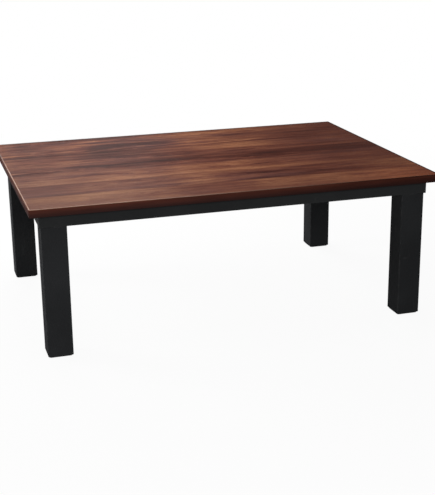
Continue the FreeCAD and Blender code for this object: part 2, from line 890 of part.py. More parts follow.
def make_inlet():
    half_x = inlet_width / 2 - held_clearance
    half_z = inlet_height / 2 - held_clearance
    level = inlet_level()
    body = box((-half_x, half_x), (-casing_half, inlet_back()), (level - half_z, level + half_z))
    rim_x = half_x + inlet_flange
    rim_z = half_z + inlet_flange - casing_play
    face_y = -casing_half - inlet_flange_thickness
    rim = box((-rim_x, rim_x), (face_y, -casing_half), (level - rim_z, level + rim_z))
    well_x = half_x - inlet_wall
    well_z = half_z - inlet_wall
    well_y = (face_y - overrun, inlet_back() - inlet_back_wall)
    well = box((-well_x, well_x), well_y, (level - well_z, level + well_z))
    pins = []
    holes = []
    for x in (-inlet_pin_spacing / 2, inlet_pin_spacing / 2):
        tip = Vector(x, face_y + inlet_pin_setback, level)
        tail = Vector(x, inlet_back() + inlet_pin_tail, level)
        pins.append(rod(inlet_pin_radius, tip, tail))
        holes.append(rod(inlet_pin_radius + held_clearance, tip, tail))
    keep("inlet_body", body.fuse(rim).cut([well] + holes).Solids)
    keep("inlet_pins", pins)


def make_leads():
    front_row, back_row = terminal_rows()[2:]
    low = terminal_bottom()
    inner = terminal_inner_spacing / 2
    outer = terminal_outer_spacing / 2
    pin_end = cap_front - element_pin_beyond_cap
    tail_end = inlet_back() + inlet_pin_tail
    left_tube, right_tube = tube_sides()
    tab_outside = tab_spacing / 2 + tab_thickness / 2
    fuse_end = fuse_length / 2
    routes = []
    for side in (-1, 1):
        pin_x = side * inlet_pin_spacing / 2
        routes.append([
            Vector(pin_x, tail_end, inlet_level()),
            Vector(pin_x, back_row, inlet_level()),
            Vector(side * inner, back_row, low),
        ])
    routes.append([
        Vector(outer, front_row, low),
        Vector(outer, front_row, tube_level),
        Vector(right_tube, front_row, tube_level),
        Vector(right_tube, pin_end, tube_level),
    ])
    routes.append([
        Vector(-outer, back_row, low),
        Vector(-outer, back_row, tab_level()),
        Vector(-outer, thermostat_y(), tab_level()),
        Vector(-tab_outside, thermostat_y(), tab_level()),
    ])
    routes.append([
        Vector(tab_outside, thermostat_y(), tab_level()),
        Vector(lead_right_turn, thermostat_y(), tab_level()),
        Vector(lead_right_turn, fuse_y(), fuse_level()),
        Vector(fuse_end, fuse_y(), fuse_level()),
    ])
    routes.append([
        Vector(-fuse_end, fuse_y(), fuse_level()),
        Vector(-lead_side_run, fuse_y(), fuse_level()),
        Vector(-lead_side_run, back_row, fuse_level()),
        Vector(left_tube, front_row, tube_level),
        Vector(left_tube, pin_end, tube_level),
    ])
    keep("internal_leads", [round_bar(route, lead_bend, lead_radius) for route in routes])


make_board()
make_aprons()
make_pads()
make_corner_blocks()
make_legs()
make_glides()
make_leg_fasteners()
make_crossbars()
make_dowels()
make_casing()
make_hanging_screws()
make_insulation()
make_reflector()
make_bulkhead()
make_tube()
make_end_caps()
make_tube_clips()
make_guard()
make_guard_screws()
make_thermostat()
make_fuse()
make_terminal_block()
make_inlet()
make_leads()

os.makedirs("parts", exist_ok=True)
for name, shape in pieces.items():
    shape.exportStep("parts/" + name + ".step")
print(len(pieces), "nodes,", sum(len(shape.Solids) for shape in pieces.values()), "solids")
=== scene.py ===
import json
import math

import bpy
from mathutils import Matrix, Vector


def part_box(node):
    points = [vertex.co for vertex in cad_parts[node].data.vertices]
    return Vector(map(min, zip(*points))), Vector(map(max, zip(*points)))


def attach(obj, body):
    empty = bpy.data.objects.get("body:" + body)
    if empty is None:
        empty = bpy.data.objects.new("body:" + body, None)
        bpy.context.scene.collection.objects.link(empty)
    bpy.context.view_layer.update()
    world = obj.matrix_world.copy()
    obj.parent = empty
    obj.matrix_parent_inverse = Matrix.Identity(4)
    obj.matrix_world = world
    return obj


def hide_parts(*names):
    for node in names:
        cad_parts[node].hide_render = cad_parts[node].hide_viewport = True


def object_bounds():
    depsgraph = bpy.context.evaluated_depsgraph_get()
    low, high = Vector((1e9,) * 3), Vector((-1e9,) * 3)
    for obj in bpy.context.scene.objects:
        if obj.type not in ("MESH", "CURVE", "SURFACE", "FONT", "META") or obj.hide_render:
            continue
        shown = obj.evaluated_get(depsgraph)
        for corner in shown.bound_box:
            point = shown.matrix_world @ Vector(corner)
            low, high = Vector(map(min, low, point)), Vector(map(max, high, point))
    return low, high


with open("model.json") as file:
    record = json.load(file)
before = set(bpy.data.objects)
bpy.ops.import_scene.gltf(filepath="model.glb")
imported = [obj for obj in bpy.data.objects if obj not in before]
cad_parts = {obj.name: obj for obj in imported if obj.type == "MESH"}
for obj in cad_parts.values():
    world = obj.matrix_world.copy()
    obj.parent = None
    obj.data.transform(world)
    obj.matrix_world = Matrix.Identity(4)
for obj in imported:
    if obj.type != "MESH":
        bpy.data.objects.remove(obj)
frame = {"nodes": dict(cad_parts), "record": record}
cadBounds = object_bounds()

bodies = {node: body for body, nodes in frame["record"]["behaviour"]["bodies"].items() for node in nodes}
slotOf = {part["node"]: part["material_slot"] for part in frame["record"]["subparts"]}
print("frame loaded:", len(frame["nodes"]), "nodes")


# Small helpers for node trees

def put(tree, kind, inputs=None, **settings):
    node = tree.nodes.new(kind)
    for name, value in settings.items():
        setattr(node, name, value)
    for name, value in (inputs or {}).items():
        feed(tree, node.inputs[name], value)
    return node


def feed(tree, socket, value):
    if isinstance(value, bpy.types.NodeSocket):
        tree.links.new(value, socket)
    else:
        socket.default_value = value


def calc(tree, operation, *values):
    node = put(tree, "ShaderNodeMath", operation=operation)
    for socket, value in zip(node.inputs, values):
        feed(tree, socket, value)
    return node.outputs[0]


def times(tree, first, second):
    return calc(tree, "MULTIPLY", first, second)


def weighted(tree, start, *pairs):
    # Adds values to a start, each times its own weight.
    for value, weight in pairs:
        start = calc(tree, "MULTIPLY_ADD", value, weight, start)
    return start


def vectorCalc(tree, operation, *values):
    node = put(tree, "ShaderNodeVectorMath", operation=operation)
    for socket, value in zip(node.inputs, values):
        feed(tree, socket, value)
    return node.outputs["Value" if operation in ("LENGTH", "DOT_PRODUCT") else "Vector"]


def stretch(tree, vector, scale):
    return vectorCalc(tree, "MULTIPLY", vector, scale)


def split(tree, vector):
    return put(tree, "ShaderNodeSeparateXYZ", {"Vector": vector}).outputs


def join(tree, x, y, z):
    return put(tree, "ShaderNodeCombineXYZ", {"X": x, "Y": y, "Z": z}).outputs["Vector"]


def alongAxis(tree, vector, axis):
    # Turns a vector so that the given axis comes first.
    x, y, z = split(tree, vector)
    orders = {"x": (x, y, z), "y": (y, x, z), "z": (z, x, y)}
    return join(tree, *orders[axis])


def remap(tree, value, low, high, newLow=0.0, newHigh=1.0, smooth=True):
    kind = "SMOOTHSTEP" if smooth else "LINEAR"
    inputs = {"Value": value, "From Min": low, "From Max": high, "To Min": newLow, "To Max": newHigh}
    return put(tree, "ShaderNodeMapRange", inputs, interpolation_type=kind).outputs["Result"]


def noise(tree, vector, scale, detail=3.0, roughness=0.55):
    node = put(tree, "ShaderNodeTexNoise", {
        "Vector": vector, "Scale": scale, "Detail": detail, "Roughness": roughness})
    return node.outputs["Fac"]


def colour(red, green, blue):
    return (red, green, blue, 1.0)


def blend(tree, factor, first, second):
    node = put(tree, "ShaderNodeMix", {"Factor": factor, 6: first, 7: second}, data_type="RGBA")
    return node.outputs[2]


def layer(tree, below, mask, share, shade):
    # Lays a shade over what is below, as far as the mask and its share go.
    return blend(tree, times(tree, mask, share), below, colour(*shade))


def colourRamp(tree, value, stops, flat=False):
    # A ramp through the stops, or with a flat step from each to the next.
    node = put(tree, "ShaderNodeValToRGB", {"Fac": value})
    node.color_ramp.interpolation = "CONSTANT" if flat else "LINEAR"
    elements = node.color_ramp.elements
    while len(elements) < len(stops):
        elements.new(0.99)  # its own place follows
    for element, (place, shade) in zip(elements, stops):
        element.position = place
        element.color = colour(*shade)
    return node.outputs["Color"]


def newGroup(name, inputs, outputs):
    # inputs: name -> (kind, default), outputs: name -> kind
    group = bpy.data.node_groups.new(name, "ShaderNodeTree")
    for label, (kind, default) in inputs.items():
        socket = group.interface.new_socket(label, in_out="INPUT", socket_type=kind)
        if default is not None:
            socket.default_value = default
    for label, kind in outputs.items():
        group.interface.new_socket(label, in_out="OUTPUT", socket_type=kind)
    entry = group.nodes.new("NodeGroupInput")
    leave = group.nodes.new("NodeGroupOutput")
    return group, entry.outputs, leave.inputs


def useGroup(tree, group, **values):
    node = put(tree, "ShaderNodeGroup", node_tree=group)
    for name, value in values.items():
        feed(tree, node.inputs[name], value)
    return node.outputs


number = "NodeSocketFloat"
vectorSocket = "NodeSocketVector"


# Wood grain: layers of noise drawn out along the vector's X. A higher rate along the grain is a shorter mark

grainLayers = {
    "Streak": {"alongRate": 1.0, "scale": 1.0, "detail": 5.0, "roughness": 0.60, "lift": 0.0,
               "range": (0.30, 0.70)},
    "Fleck": {"alongRate": 1.6, "scale": 1.9, "detail": 4.0, "roughness": 0.70, "lift": 3.0,
              "range": (0.30, 0.70)},
    "Fine": {"alongRate": 0.25, "scale": 8.0, "detail": 3.0, "roughness": 0.65, "lift": 0.0,
             "range": (0.30, 0.70)},
    "Pores": {"alongRate": 0.8, "scale": 22.0, "detail": 1.0, "roughness": 0.50, "lift": 0.0,
              "range": (0.60, 0.70)},
}
swayScale = 3.1


def makeGrainGroup():
    group, given, out = newGroup("woodGrain", {
        "Vector": (vectorSocket, None),
        "Stretch": (number, 14.0),
        "Scale": (number, 30.0),
        "Warp": (number, 0.006),
    }, {label: number for label in grainLayers})
    tree = group
    x, y, z = split(tree, given["Vector"])
    alongX = calc(tree, "DIVIDE", x, given["Stretch"])
    slow = noise(tree, given["Vector"], swayScale, detail=2.0)
    sway = times(tree, calc(tree, "SUBTRACT", slow, 0.5), given["Warp"])
    bentY = calc(tree, "ADD", y, sway)
    for label, kind in grainLayers.items():
        drawn = join(tree, times(tree, alongX, kind["alongRate"]), bentY, calc(tree, "ADD", z, kind["lift"]))
        scale = times(tree, given["Scale"], kind["scale"])
        value = noise(tree, drawn, scale, kind["detail"], kind["roughness"])
        tree.links.new(remap(tree, value, *kind["range"]), out[label])
    return group


# Strips cut from different planks: each has its own tone, which drifts along it, and its own piece of
# the flame figure, whose arches are rings that run out along the strip

stripFigure = {
    "toneRange": (0.32, 0.68),
    "toneStep": 3.7,
    "offsetStep": 0.31,
    "archMiddle": 0.25,
    "archSpread": 0.5,
    "wobble": 0.16,
    "wobbleScale": 5.0,
    "wobbleAcross": 4.0,
    "slope": 0.22,
    "figureScale": 34.0,
    "figureRange": (0.32, 0.68),
    "growthScale": 170.0,
    "growthAlong": 0.02,
    "growthRange": (0.34, 0.66),
    "jointFrom": 0.487,
}


def makeStripGroup():
    group, given, out = newGroup("boardStrips", {
        "Vector": (vectorSocket, None),
        "Width": (number, 0.107),
        "Shift": (number, 0.0),
        "Drift": (number, 3.0),
        "Arch": (number, 0.9),
    }, {"Tone": number, "Figure": number, "Growth": number, "Offset": vectorSocket, "Joint": number})
    tree = group
    x, y, z = split(tree, given["Vector"])
    count = calc(tree, "DIVIDE", y, given["Width"])
    index = calc(tree, "FLOOR", count)
    rest = calc(tree, "SUBTRACT", count, index)
    shift = given["Shift"]
    shifted = calc(tree, "ADD", x, shift)
    toneVector = join(tree, shifted, times(tree, index, stripFigure["toneStep"]), z)
    tone = noise(tree, toneVector, given["Drift"], detail=2.0)
    tree.links.new(remap(tree, tone, *stripFigure["toneRange"]), out["Tone"])
    tree.links.new(join(tree, shift, times(tree, index, stripFigure["offsetStep"]), 0.0), out["Offset"])
    middle = weighted(tree, stripFigure["archMiddle"],
                      (calc(tree, "FRACT", shift), stripFigure["archSpread"]))
    across = calc(tree, "SUBTRACT", rest, middle)
    arch = times(tree, times(tree, across, across), given["Arch"])
    wobbleVector = join(tree, shifted, times(tree, y, stripFigure["wobbleAcross"]), z)
    wobble = noise(tree, wobbleVector, stripFigure["wobbleScale"])
    rings = weighted(tree, arch, (shifted, stripFigure["slope"]), (wobble, stripFigure["wobble"]))
    figure = noise(tree, join(tree, rings, 0.0, index), stripFigure["figureScale"], roughness=0.6)
    tree.links.new(remap(tree, figure, *stripFigure["figureRange"]), out["Figure"])
    growthVector = join(tree, rings, times(tree, x, stripFigure["growthAlong"]), index)
    growth = noise(tree, growthVector, stripFigure["growthScale"], detail=2.0, roughness=0.5)
    tree.links.new(remap(tree, growth, *stripFigure["growthRange"]), out["Growth"])
    fromMiddle = calc(tree, "ABSOLUTE", calc(tree, "SUBTRACT", rest, 0.5))
    tree.links.new(remap(tree, fromMiddle, stripFigure["jointFrom"], 0.5), out["Joint"])
    return group


# Wear near the edges of a box, broken up by noise

edgePatches = {"scale": 60.0, "range": (0.42, 0.66)}


def makeEdgeGroup():
    group, given, out = newGroup("boxEdgeWear", {
        "Vector": (vectorSocket, None),
        "Middle": (vectorSocket, None),
        "Half": (vectorSocket, None),
        "Width": (number, 0.004),
    }, {"Edge": number, "Wear": number})
    tree = group
    away = vectorCalc(tree, "ABSOLUTE", vectorCalc(tree, "SUBTRACT", given["Vector"], given["Middle"]))
    x, y, z = split(tree, vectorCalc(tree, "SUBTRACT", given["Half"], away))
    low = calc(tree, "MINIMUM", x, y)
    high = calc(tree, "MAXIMUM", x, y)
    second = calc(tree, "MAXIMUM", low, calc(tree, "MINIMUM", high, z))  # the second nearest face
    edge = remap(tree, second, given["Width"], 0.0)
    value = noise(tree, given["Vector"], edgePatches["scale"], detail=4.0, roughness=0.7)
    patches = remap(tree, value, *edgePatches["range"])
    tree.links.new(edge, out["Edge"])
    tree.links.new(times(tree, edge, patches), out["Wear"])
    return group


# Slow unevenness, fine speckle, and a little dust that settles on faces that look up

mottleLayers = {
    "Slow": {"scale": 1.0, "detail": 3.0, "roughness": 0.55, "range": (0.3, 0.7)},
    "Speckle": {"scale": 70.0, "detail": 2.0, "roughness": 0.6, "range": (0.3, 0.7)},
    "Dust": {"scale": 260.0, "detail": 1.0, "roughness": 0.55, "range": (0.62, 0.74)},
}
lookingUp = (0.6, 1.0)


def makeMottleGroup():
    group, given, out = newGroup("surfaceMottle", {
        "Vector": (vectorSocket, None),
        "Scale": (number, 6.0),
    }, {label: number for label in mottleLayers})
    tree = group
    normal = put(tree, "ShaderNodeNewGeometry").outputs["Normal"]
    settled = remap(tree, split(tree, normal)["Z"], *lookingUp)
    for label, kind in mottleLayers.items():
        scale = times(tree, given["Scale"], kind["scale"])
        value = noise(tree, given["Vector"], scale, kind["detail"], kind["roughness"])
        mask = remap(tree, value, *kind["range"])
        tree.links.new(times(tree, mask, settled) if label == "Dust" else mask, out[label])
    return group


# Thin rub marks in three directions, gathered in patches

rubMarks = {
    "directions": ((12.0, 260.0, 30.0), (240.0, 16.0, 34.0), (90.0, 110.0, 14.0)),
    "lineRange": (0.66, 0.72),
    "patchScale": 11.0,
    "patchRange": (0.50, 0.64),
}


def makeScratchGroup():
    group, given, out = newGroup("rubMarks", {
        "Vector": (vectorSocket, None),
        "Scale": (number, 1.0),
    }, {"Marks": number})
    tree = group
    scaled = stretch(tree, given["Vector"], join(tree, given["Scale"], given["Scale"], given["Scale"]))
    lines = 0.0
    for direction in rubMarks["directions"]:
        line = noise(tree, stretch(tree, scaled, direction), 1.0, detail=2.0)
        lines = calc(tree, "MAXIMUM", lines, remap(tree, line, *rubMarks["lineRange"]))
    value = noise(tree, scaled, rubMarks["patchScale"], detail=2.0)
    patches = remap(tree, value, *rubMarks["patchRange"])
    tree.links.new(times(tree, lines, patches), out["Marks"])
    return group


grainGroup = makeGrainGroup()
stripGroup = makeStripGroup()
edgeGroup = makeEdgeGroup()
mottleGroup = makeMottleGroup()
scratchGroup = makeScratchGroup()
print("shader groups made")


# What every material needs

shallowRelief = 0.0003


def newMaterial(name):
    material = bpy.data.materials.new(name)
    material.use_nodes = True
    tree = material.node_tree
    shader = tree.nodes["Principled BSDF"]
    place = put(tree, "ShaderNodeTexCoord").outputs["Object"]
    return material, tree, shader, place


def dress(tree, shader, shade, gloss, height, settings):
    # Links the colour, the roughness and the bump, and sets the plain values.
    tree.links.new(shade, shader.inputs["Base Color"])
    tree.links.new(remap(tree, gloss, 0.0, 1.0, *settings["roughness"]), shader.inputs["Roughness"])
    relief = settings.get("relief", shallowRelief)
    bump = put(tree, "ShaderNodeBump", {"Height": height, "Strength": settings["bump"], "Distance": relief})
    tree.links.new(bump.outputs["Normal"], shader.inputs["Normal"])
    shader.inputs["Metallic"].default_value = settings.get("metallic", 0.0)
    shader.inputs["Specular IOR Level"].default_value = settings.get("specular", 0.5)


def paint(node, material):
    for holder in frame["nodes"][node].material_slots:
        holder.material = material


def folded(tree, place):
    # Folds the four corners of the table onto one.
    x, y, z = split(tree, place)
    return join(tree, calc(tree, "ABSOLUTE", x), calc(tree, "ABSOLUTE", y), z)


def boxMiddle(*names):
    # Middle and half size of the box round the named nodes.
    lows, highs = zip(*[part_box(name) for name in names])
    low = Vector([min(corner[axis] for corner in lows) for axis in range(3)])
    high = Vector([max(corner[axis] for corner in highs) for axis in range(3)])
    return (low + high) / 2, (high - low) / 2


# Board: walnut print in strips, from the front to the rear

walnut = {
    "stripTones": (0.58, 0.43, 0.52, 0.29, 0.42, 0.36, 0.34),
    "stripDrifts": (0.24, 0.34, 0.26, 0.27, 0.38, 0.55, 0.55),
    "stripShifts": (6.8, 2.8, 5.7, 3.2, 5.0, 5.4, 5.6),
    "stripContrasts": (0.62, 0.85, 0.95, 1.0, 1.12, 1.3, 1.35),
    "strips": {"Drift": 2.6, "Arch": 1.1},
    "grain": {"Stretch": 9.0, "Scale": 27.0, "Warp": 0.016},
    "weights": {"Streak": 0.46, "Figure": 0.32, "Growth": 0.13, "Fleck": 0.20, "Fine": 0.15},
    "level": -0.01,
    "calmShare": 0.5,
    "calmCorner": {"x": (-0.28, -0.50), "y": (-0.05, -0.20), "tone": 0.47},
    "calmEnd": {"x": (0.10, 0.35), "y": (-0.28, -0.05), "tone": 0.35},
    "shades": ((0.0, (0.030, 0.0085, 0.006)), (0.16, (0.066, 0.018, 0.012)), (0.42, (0.128, 0.041, 0.026)),
               (0.64, (0.205, 0.076, 0.040)), (0.88, (0.315, 0.132, 0.066))),
    "mauve": ((0.046, 0.017, 0.015), (0.135, 0.054, 0.047)),
    "mauveShare": 0.6,
    "mauveTones": (0.0, 0.6),
    "mauvePatches": {"stretch": (0.6, 3.0, 1.0), "scale": 3.0, "range": (0.48, 0.70), "tones": (0.75, 0.2)},
    "pore": (0.040, 0.014, 0.009),
    "poreShare": 0.5,
    "seamShare": 0.5,
    # painted sheen towards the front left, and a redder front right end where no sheen falls
    "sheenTint": (0.98, 1.15, 1.27),
    "sheenDirection": (-0.8, -1.0, 0.0),
    "sheenReach": (0.0, 0.6),
    "unsheenedTint": (1.16, 0.98, 0.95),
    "unsheenedEnd": {"x": (0.20, 0.50), "y": (-0.20, -0.345)},
    # painted shade along the right and rear edges
    "rim": (0.018, 0.007, 0.006),
    "shadedRimWidths": (0.0035, 0.006),
    "poreHeight": -0.6,
    "roughness": (0.36, 0.48),
    "bump": 0.12,
    "relief": 0.0004,
    "specular": 0.0012,
}


def stepRamp(tree, value, levels):
    # A flat step for each strip. A ramp's colours stop at one, so it holds shares of the largest level.
    largest = max(levels)
    stops = [(place / len(levels), [level / largest] * 3) for place, level in enumerate(levels)]
    steps = colourRamp(tree, value, stops, flat=True)
    red = put(tree, "ShaderNodeSeparateColor", {"Color": steps}).outputs["Red"]
    return times(tree, red, largest)


def cornerMask(tree, x, y, reach):
    return times(tree, remap(tree, x, *reach["x"]), remap(tree, y, *reach["y"]))


def walnutTone(tree, place, fromFront, depth):
    # Lightness of the print at each place, from 0 to 1, with its strips and its grain.
    x, y, z = split(tree, place)
    share = calc(tree, "DIVIDE", fromFront, depth)
    own, drifts, shifts, contrast = (stepRamp(tree, share, walnut[key]) for key in (
        "stripTones", "stripDrifts", "stripShifts", "stripContrasts"))
    strips = useGroup(tree, stripGroup, Vector=join(tree, x, fromFront, z), Shift=shifts,
                      Width=depth / len(walnut["stripTones"]), **walnut["strips"])
    shifted = vectorCalc(tree, "ADD", place, strips["Offset"])
    grain = useGroup(tree, grainGroup, Vector=shifted, **walnut["grain"])
    parts = []
    for label, weight in walnut["weights"].items():
        source = grain if label in grainLayers else strips
        parts.append((calc(tree, "SUBTRACT", source[label], 0.5), weight))
    detail = weighted(tree, walnut["level"], *parts)
    drift = calc(tree, "SUBTRACT", strips["Tone"], 0.5)
    tone = weighted(tree, own, (drift, drifts), (detail, contrast))
    for key in ("calmCorner", "calmEnd"):  # these two places are calmer than the middle
        calm = walnut[key]
        calmness = times(tree, cornerMask(tree, x, y, calm), walnut["calmShare"])
        tone = weighted(tree, tone, (calc(tree, "SUBTRACT", calm["tone"], tone), calmness))
    return tone, grain, strips, shifted


def makeWalnut():
    material, tree, shader, place = newMaterial("walnutPrint")
    x, y = split(tree, place)[:2]
    front = cadBounds[0][1]
    depth = cadBounds[1][1] - front
    tone, grain, strips, shifted = walnutTone(tree, place, calc(tree, "SUBTRACT", y, front), depth)
    base = colourRamp(tree, tone, walnut["shades"])
    patches = walnut["mauvePatches"]
    cool = noise(tree, stretch(tree, shifted, patches["stretch"]), patches["scale"], detail=2.0)
    mauve = times(tree, remap(tree, cool, *patches["range"]), remap(tree, tone, *patches["tones"]))
    deep, pale = walnut["mauve"]
    mauveShade = blend(tree, remap(tree, tone, *walnut["mauveTones"]), colour(*deep), colour(*pale))
    tinted = blend(tree, times(tree, mauve, walnut["mauveShare"]), base, mauveShade)
    pored = layer(tree, tinted, grain["Pores"], walnut["poreShare"], walnut["pore"])
    seamed = layer(tree, pored, strips["Joint"], walnut["seamShare"], walnut["pore"])
    # painted sheen: the front left corner is made paler and greyer, and the front right end is made redder,
    # where no sheen falls
    towards = vectorCalc(tree, "DOT_PRODUCT", place, walnut["sheenDirection"])
    lit = remap(tree, towards, *walnut["sheenReach"], smooth=False)
    sheened = blend(tree, lit, seamed, stretch(tree, seamed, walnut["sheenTint"]))
    unsheened = cornerMask(tree, x, y, walnut["unsheenedEnd"])
    unsheenedTone = blend(tree, unsheened, sheened, stretch(tree, sheened, walnut["unsheenedTint"]))
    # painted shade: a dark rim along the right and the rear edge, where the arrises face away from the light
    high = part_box("board_surface_sheet")[1]
    shadedRims = []
    for value, end, width in zip((x, y), high, walnut["shadedRimWidths"]):
        shadedRims.append(remap(tree, value, end - width, end - width / 2))
    edgeShaded = layer(tree, unsheenedTone, calc(tree, "MAXIMUM", *shadedRims), 1.0, walnut["rim"])
    height = weighted(tree, grain["Fine"], (grain["Pores"], walnut["poreHeight"]))
    dress(tree, shader, edgeShaded, grain["Fine"], height, walnut)
    return material


# Board: edge bands, painted darker towards the bottom and paler towards the left end, with a painted
# highlight on the upper arris near the front left and painted shade on the rest of the arris

edgeBand = {
    # painted shade: the band darkens from its top to its bottom
    "upper": (0.112, 0.032, 0.021),
    "lower": (0.042, 0.018, 0.016),
    "streak": (0.030, 0.011, 0.009),
    "streakShare": 0.45,
    # painted light: paler towards the left end
    "paintedLeftLight": (1.35, 1.45, 1.5),
    # painted highlight on the front and left arris, painted shade on the far arrises
    "arris": (0.42, 0.26, 0.19),
    "farArrisShade": (0.018, 0.007, 0.006),
    "arrisShare": 0.8,
    "arrisDrop": (0.0016, 0.0004),
    "highlightFrom": 0.020,
    "highlightEdge": 0.004,
    "highlightTo": {"x": 0.45, "y": 0.34},
    "grain": {"Stretch": 12.0, "Scale": 90.0, "Warp": 0.002},
    "roughness": (0.40, 0.55),
    "bump": 0.1,
    "specular": 0.008,
}


def makeEdgeBand():
    material, tree, shader, place = newMaterial("edgeBandPrint")
    low, high = cadBounds
    top = high[2]
    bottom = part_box("edge_band_front")[0][2]
    x, y, z = split(tree, place)
    grainVector = join(tree, calc(tree, "ADD", x, y), z, 0.0)
    grain = useGroup(tree, grainGroup, Vector=grainVector, **edgeBand["grain"])
    # the band is painted darker towards its bottom: painted shade
    paintedShadeFade = remap(tree, z, bottom, top)
    base = blend(tree, paintedShadeFade, colour(*edgeBand["lower"]), colour(*edgeBand["upper"]))
    streaked = layer(tree, base, grain["Streak"], edgeBand["streakShare"], edgeBand["streak"])
    lowest, highest = edgeBand["arrisDrop"]
    arris = remap(tree, z, top - lowest, top - highest)
    left = low[0] + edgeBand["highlightFrom"]
    front = low[1] + edgeBand["highlightFrom"]
    edge = edgeBand["highlightEdge"]
    along = remap(tree, x, edgeBand["highlightTo"]["x"], left)
    inward = remap(tree, y, edgeBand["highlightTo"]["y"], 0.0)
    frontHighlight = times(tree, remap(tree, y, front, front - edge), along)
    leftHighlight = times(tree, remap(tree, x, left, left - edge), inward)
    near = calc(tree, "MAXIMUM", leftHighlight, frontHighlight)
    # painted highlight on the arris near the front left, painted shade on the rest of the arris
    worn = blend(tree, near, colour(*edgeBand["farArrisShade"]), colour(*edgeBand["arris"]))
    # painted light: the band is made paler towards the left end
    paintedLeftLight = blend(tree, along, streaked, stretch(tree, streaked, edgeBand["paintedLeftLight"]))
    lit = blend(tree, times(tree, arris, edgeBand["arrisShare"]), paintedLeftLight, worn)
    dress(tree, shader, lit, grain["Fine"], grain["Fine"], edgeBand)
    return material


# Board underside: brown backing sheet, rubbed where it rests on the rails

backing = {
    "shades": ((0.085, 0.046, 0.030), (0.120, 0.068, 0.046)),
    "line": (0.050, 0.027, 0.018),
    "lineShare": 0.45,
    "rubbed": (0.17, 0.125, 0.10),
    "rubWidth": 0.009,
    "rubShare": 0.1,
    "rubSpeckle": 0.4,
    "markShare": 0.5,
    "markScale": 0.8,
    "mottleScale": 5.0,
    "grain": {"Stretch": 16.0, "Scale": 70.0, "Warp": 0.004},
    "speckleHeight": 0.7,
    "roughness": (0.45, 0.62),
    "bump": 0.15,
    "specular": 0.2,
}


def makeBacking():
    material, tree, shader, place = newMaterial("backingSheet")
    x, y = split(tree, place)[:2]
    grain = useGroup(tree, grainGroup, Vector=place, **backing["grain"])
    mottle = useGroup(tree, mottleGroup, Vector=place, Scale=backing["mottleScale"])
    marks = useGroup(tree, scratchGroup, Vector=place, Scale=backing["markScale"])["Marks"]
    deep, pale = backing["shades"]
    base = blend(tree, mottle["Slow"], colour(*deep), colour(*pale))
    lined = layer(tree, base, grain["Streak"], backing["lineShare"], backing["line"])
    half = boxMiddle("apron_front", "apron_rear", "apron_left", "apron_right")[1]
    width = backing["rubWidth"]
    rails = []
    for value, reach in ((x, half.x), (y, half.y)):
        away = calc(tree, "ABSOLUTE", calc(tree, "SUBTRACT", calc(tree, "ABSOLUTE", value), reach - width))
        rails.append(remap(tree, away, width, 0.0))
    patchy = weighted(tree, backing["rubShare"], (mottle["Speckle"], backing["rubSpeckle"]))
    worn = times(tree, calc(tree, "MAXIMUM", *rails), patchy)
    touched = calc(tree, "MAXIMUM", worn, times(tree, marks, backing["markShare"]))
    rubbed = layer(tree, lined, touched, 1.0, backing["rubbed"])
    height = weighted(tree, grain["Fine"], (mottle["Speckle"], backing["speckleHeight"]))
    dress(tree, shader, rubbed, mottle["Speckle"], height, backing)
    return material


# Rails and legs: black paint over wood

blackPaint = {
    "legs": (0.0340, 0.0352, 0.0372),
    # the rails are painted a little paler than the legs: painted light against the board's shade on them
    "rails": (0.0370, 0.0383, 0.0394),
    "palerBy": 1.4,
    "palerShare": 0.6,
    "worn": (0.075, 0.075, 0.076),
    "edgeWidth": 0.004,
    "edgeShare": 0.7,
    "markShare": 0.25,
    "dust": (0.20, 0.19, 0.18),
    "dustShare": 0.5,
    "mottleScale": 7.0,
    "grain": {"Stretch": 18.0, "Scale": 55.0, "Warp": 0.004},
    "streakHeight": 0.5,
    "speckleHeight": 0.6,
    "markHeight": -1.0,
    "roughness": (0.44, 0.60),
    "bump": 0.3,
    "relief": 0.0004,
    "specular": 0.006,
}


def makeBlackPaint(name, nodes, shade, axis, middle, half):
    material, tree, shader, place = newMaterial(name)
    grain = useGroup(tree, grainGroup, Vector=alongAxis(tree, place, axis), **blackPaint["grain"])
    mottle = useGroup(tree, mottleGroup, Vector=place, Scale=blackPaint["mottleScale"])
    edge = useGroup(tree, edgeGroup, Vector=folded(tree, place), Middle=middle, Half=half,
                    Width=blackPaint["edgeWidth"])
    marks = useGroup(tree, scratchGroup, Vector=place)["Marks"]
    paler = [value * blackPaint["palerBy"] for value in blackPaint[shade]]
    shaded = layer(tree, colour(*blackPaint[shade]), mottle["Slow"], blackPaint["palerShare"], paler)
    rubbed = calc(tree, "MAXIMUM", times(tree, edge["Wear"], blackPaint["edgeShare"]),
                  times(tree, marks, blackPaint["markShare"]))
    worn = layer(tree, shaded, rubbed, 1.0, blackPaint["worn"])
    dusty = layer(tree, worn, mottle["Dust"], blackPaint["dustShare"], blackPaint["dust"])
    gloss = times(tree, calc(tree, "ADD", mottle["Slow"], grain["Fine"]), 0.5)
    height = weighted(tree, grain["Fine"], (grain["Streak"], blackPaint["streakHeight"]),
                      (mottle["Speckle"], blackPaint["speckleHeight"]), (marks, blackPaint["markHeight"]))
    dress(tree, shader, dusty, gloss, height, blackPaint)
    for node in nodes:
        paint(node, material)


# Blocks, crossbars and dowels: bare wood, with growth rings on its cut ends

bareWood = {
    "pale": (0.63, 0.44, 0.26),
    "deep": (0.47, 0.29, 0.145),
    "line": (0.33, 0.19, 0.09),
    "end": (0.36, 0.215, 0.11),
    "driftShare": 0.35,
    "lineShare": 0.35,
    "poreShare": 0.5,
    "mottleScale": 9.0,
    "grain": {"Stretch": 12.0, "Scale": 60.0, "Warp": 0.012},
    "ringSpacing": 0.0021,
    "ringCentre": (0.013, -0.02, 0.30),
    "ringWobble": 2.2,
    "ringWobbleScale": 55.0,
    "ringRange": (0.35, 1.0),
    "endFacing": (0.75, 0.95),
    "poreHeight": -1.0,
    "roughness": (0.55, 0.75),
    "bump": 0.3,
    "relief": 0.0004,
    "specular": 0.3,
}


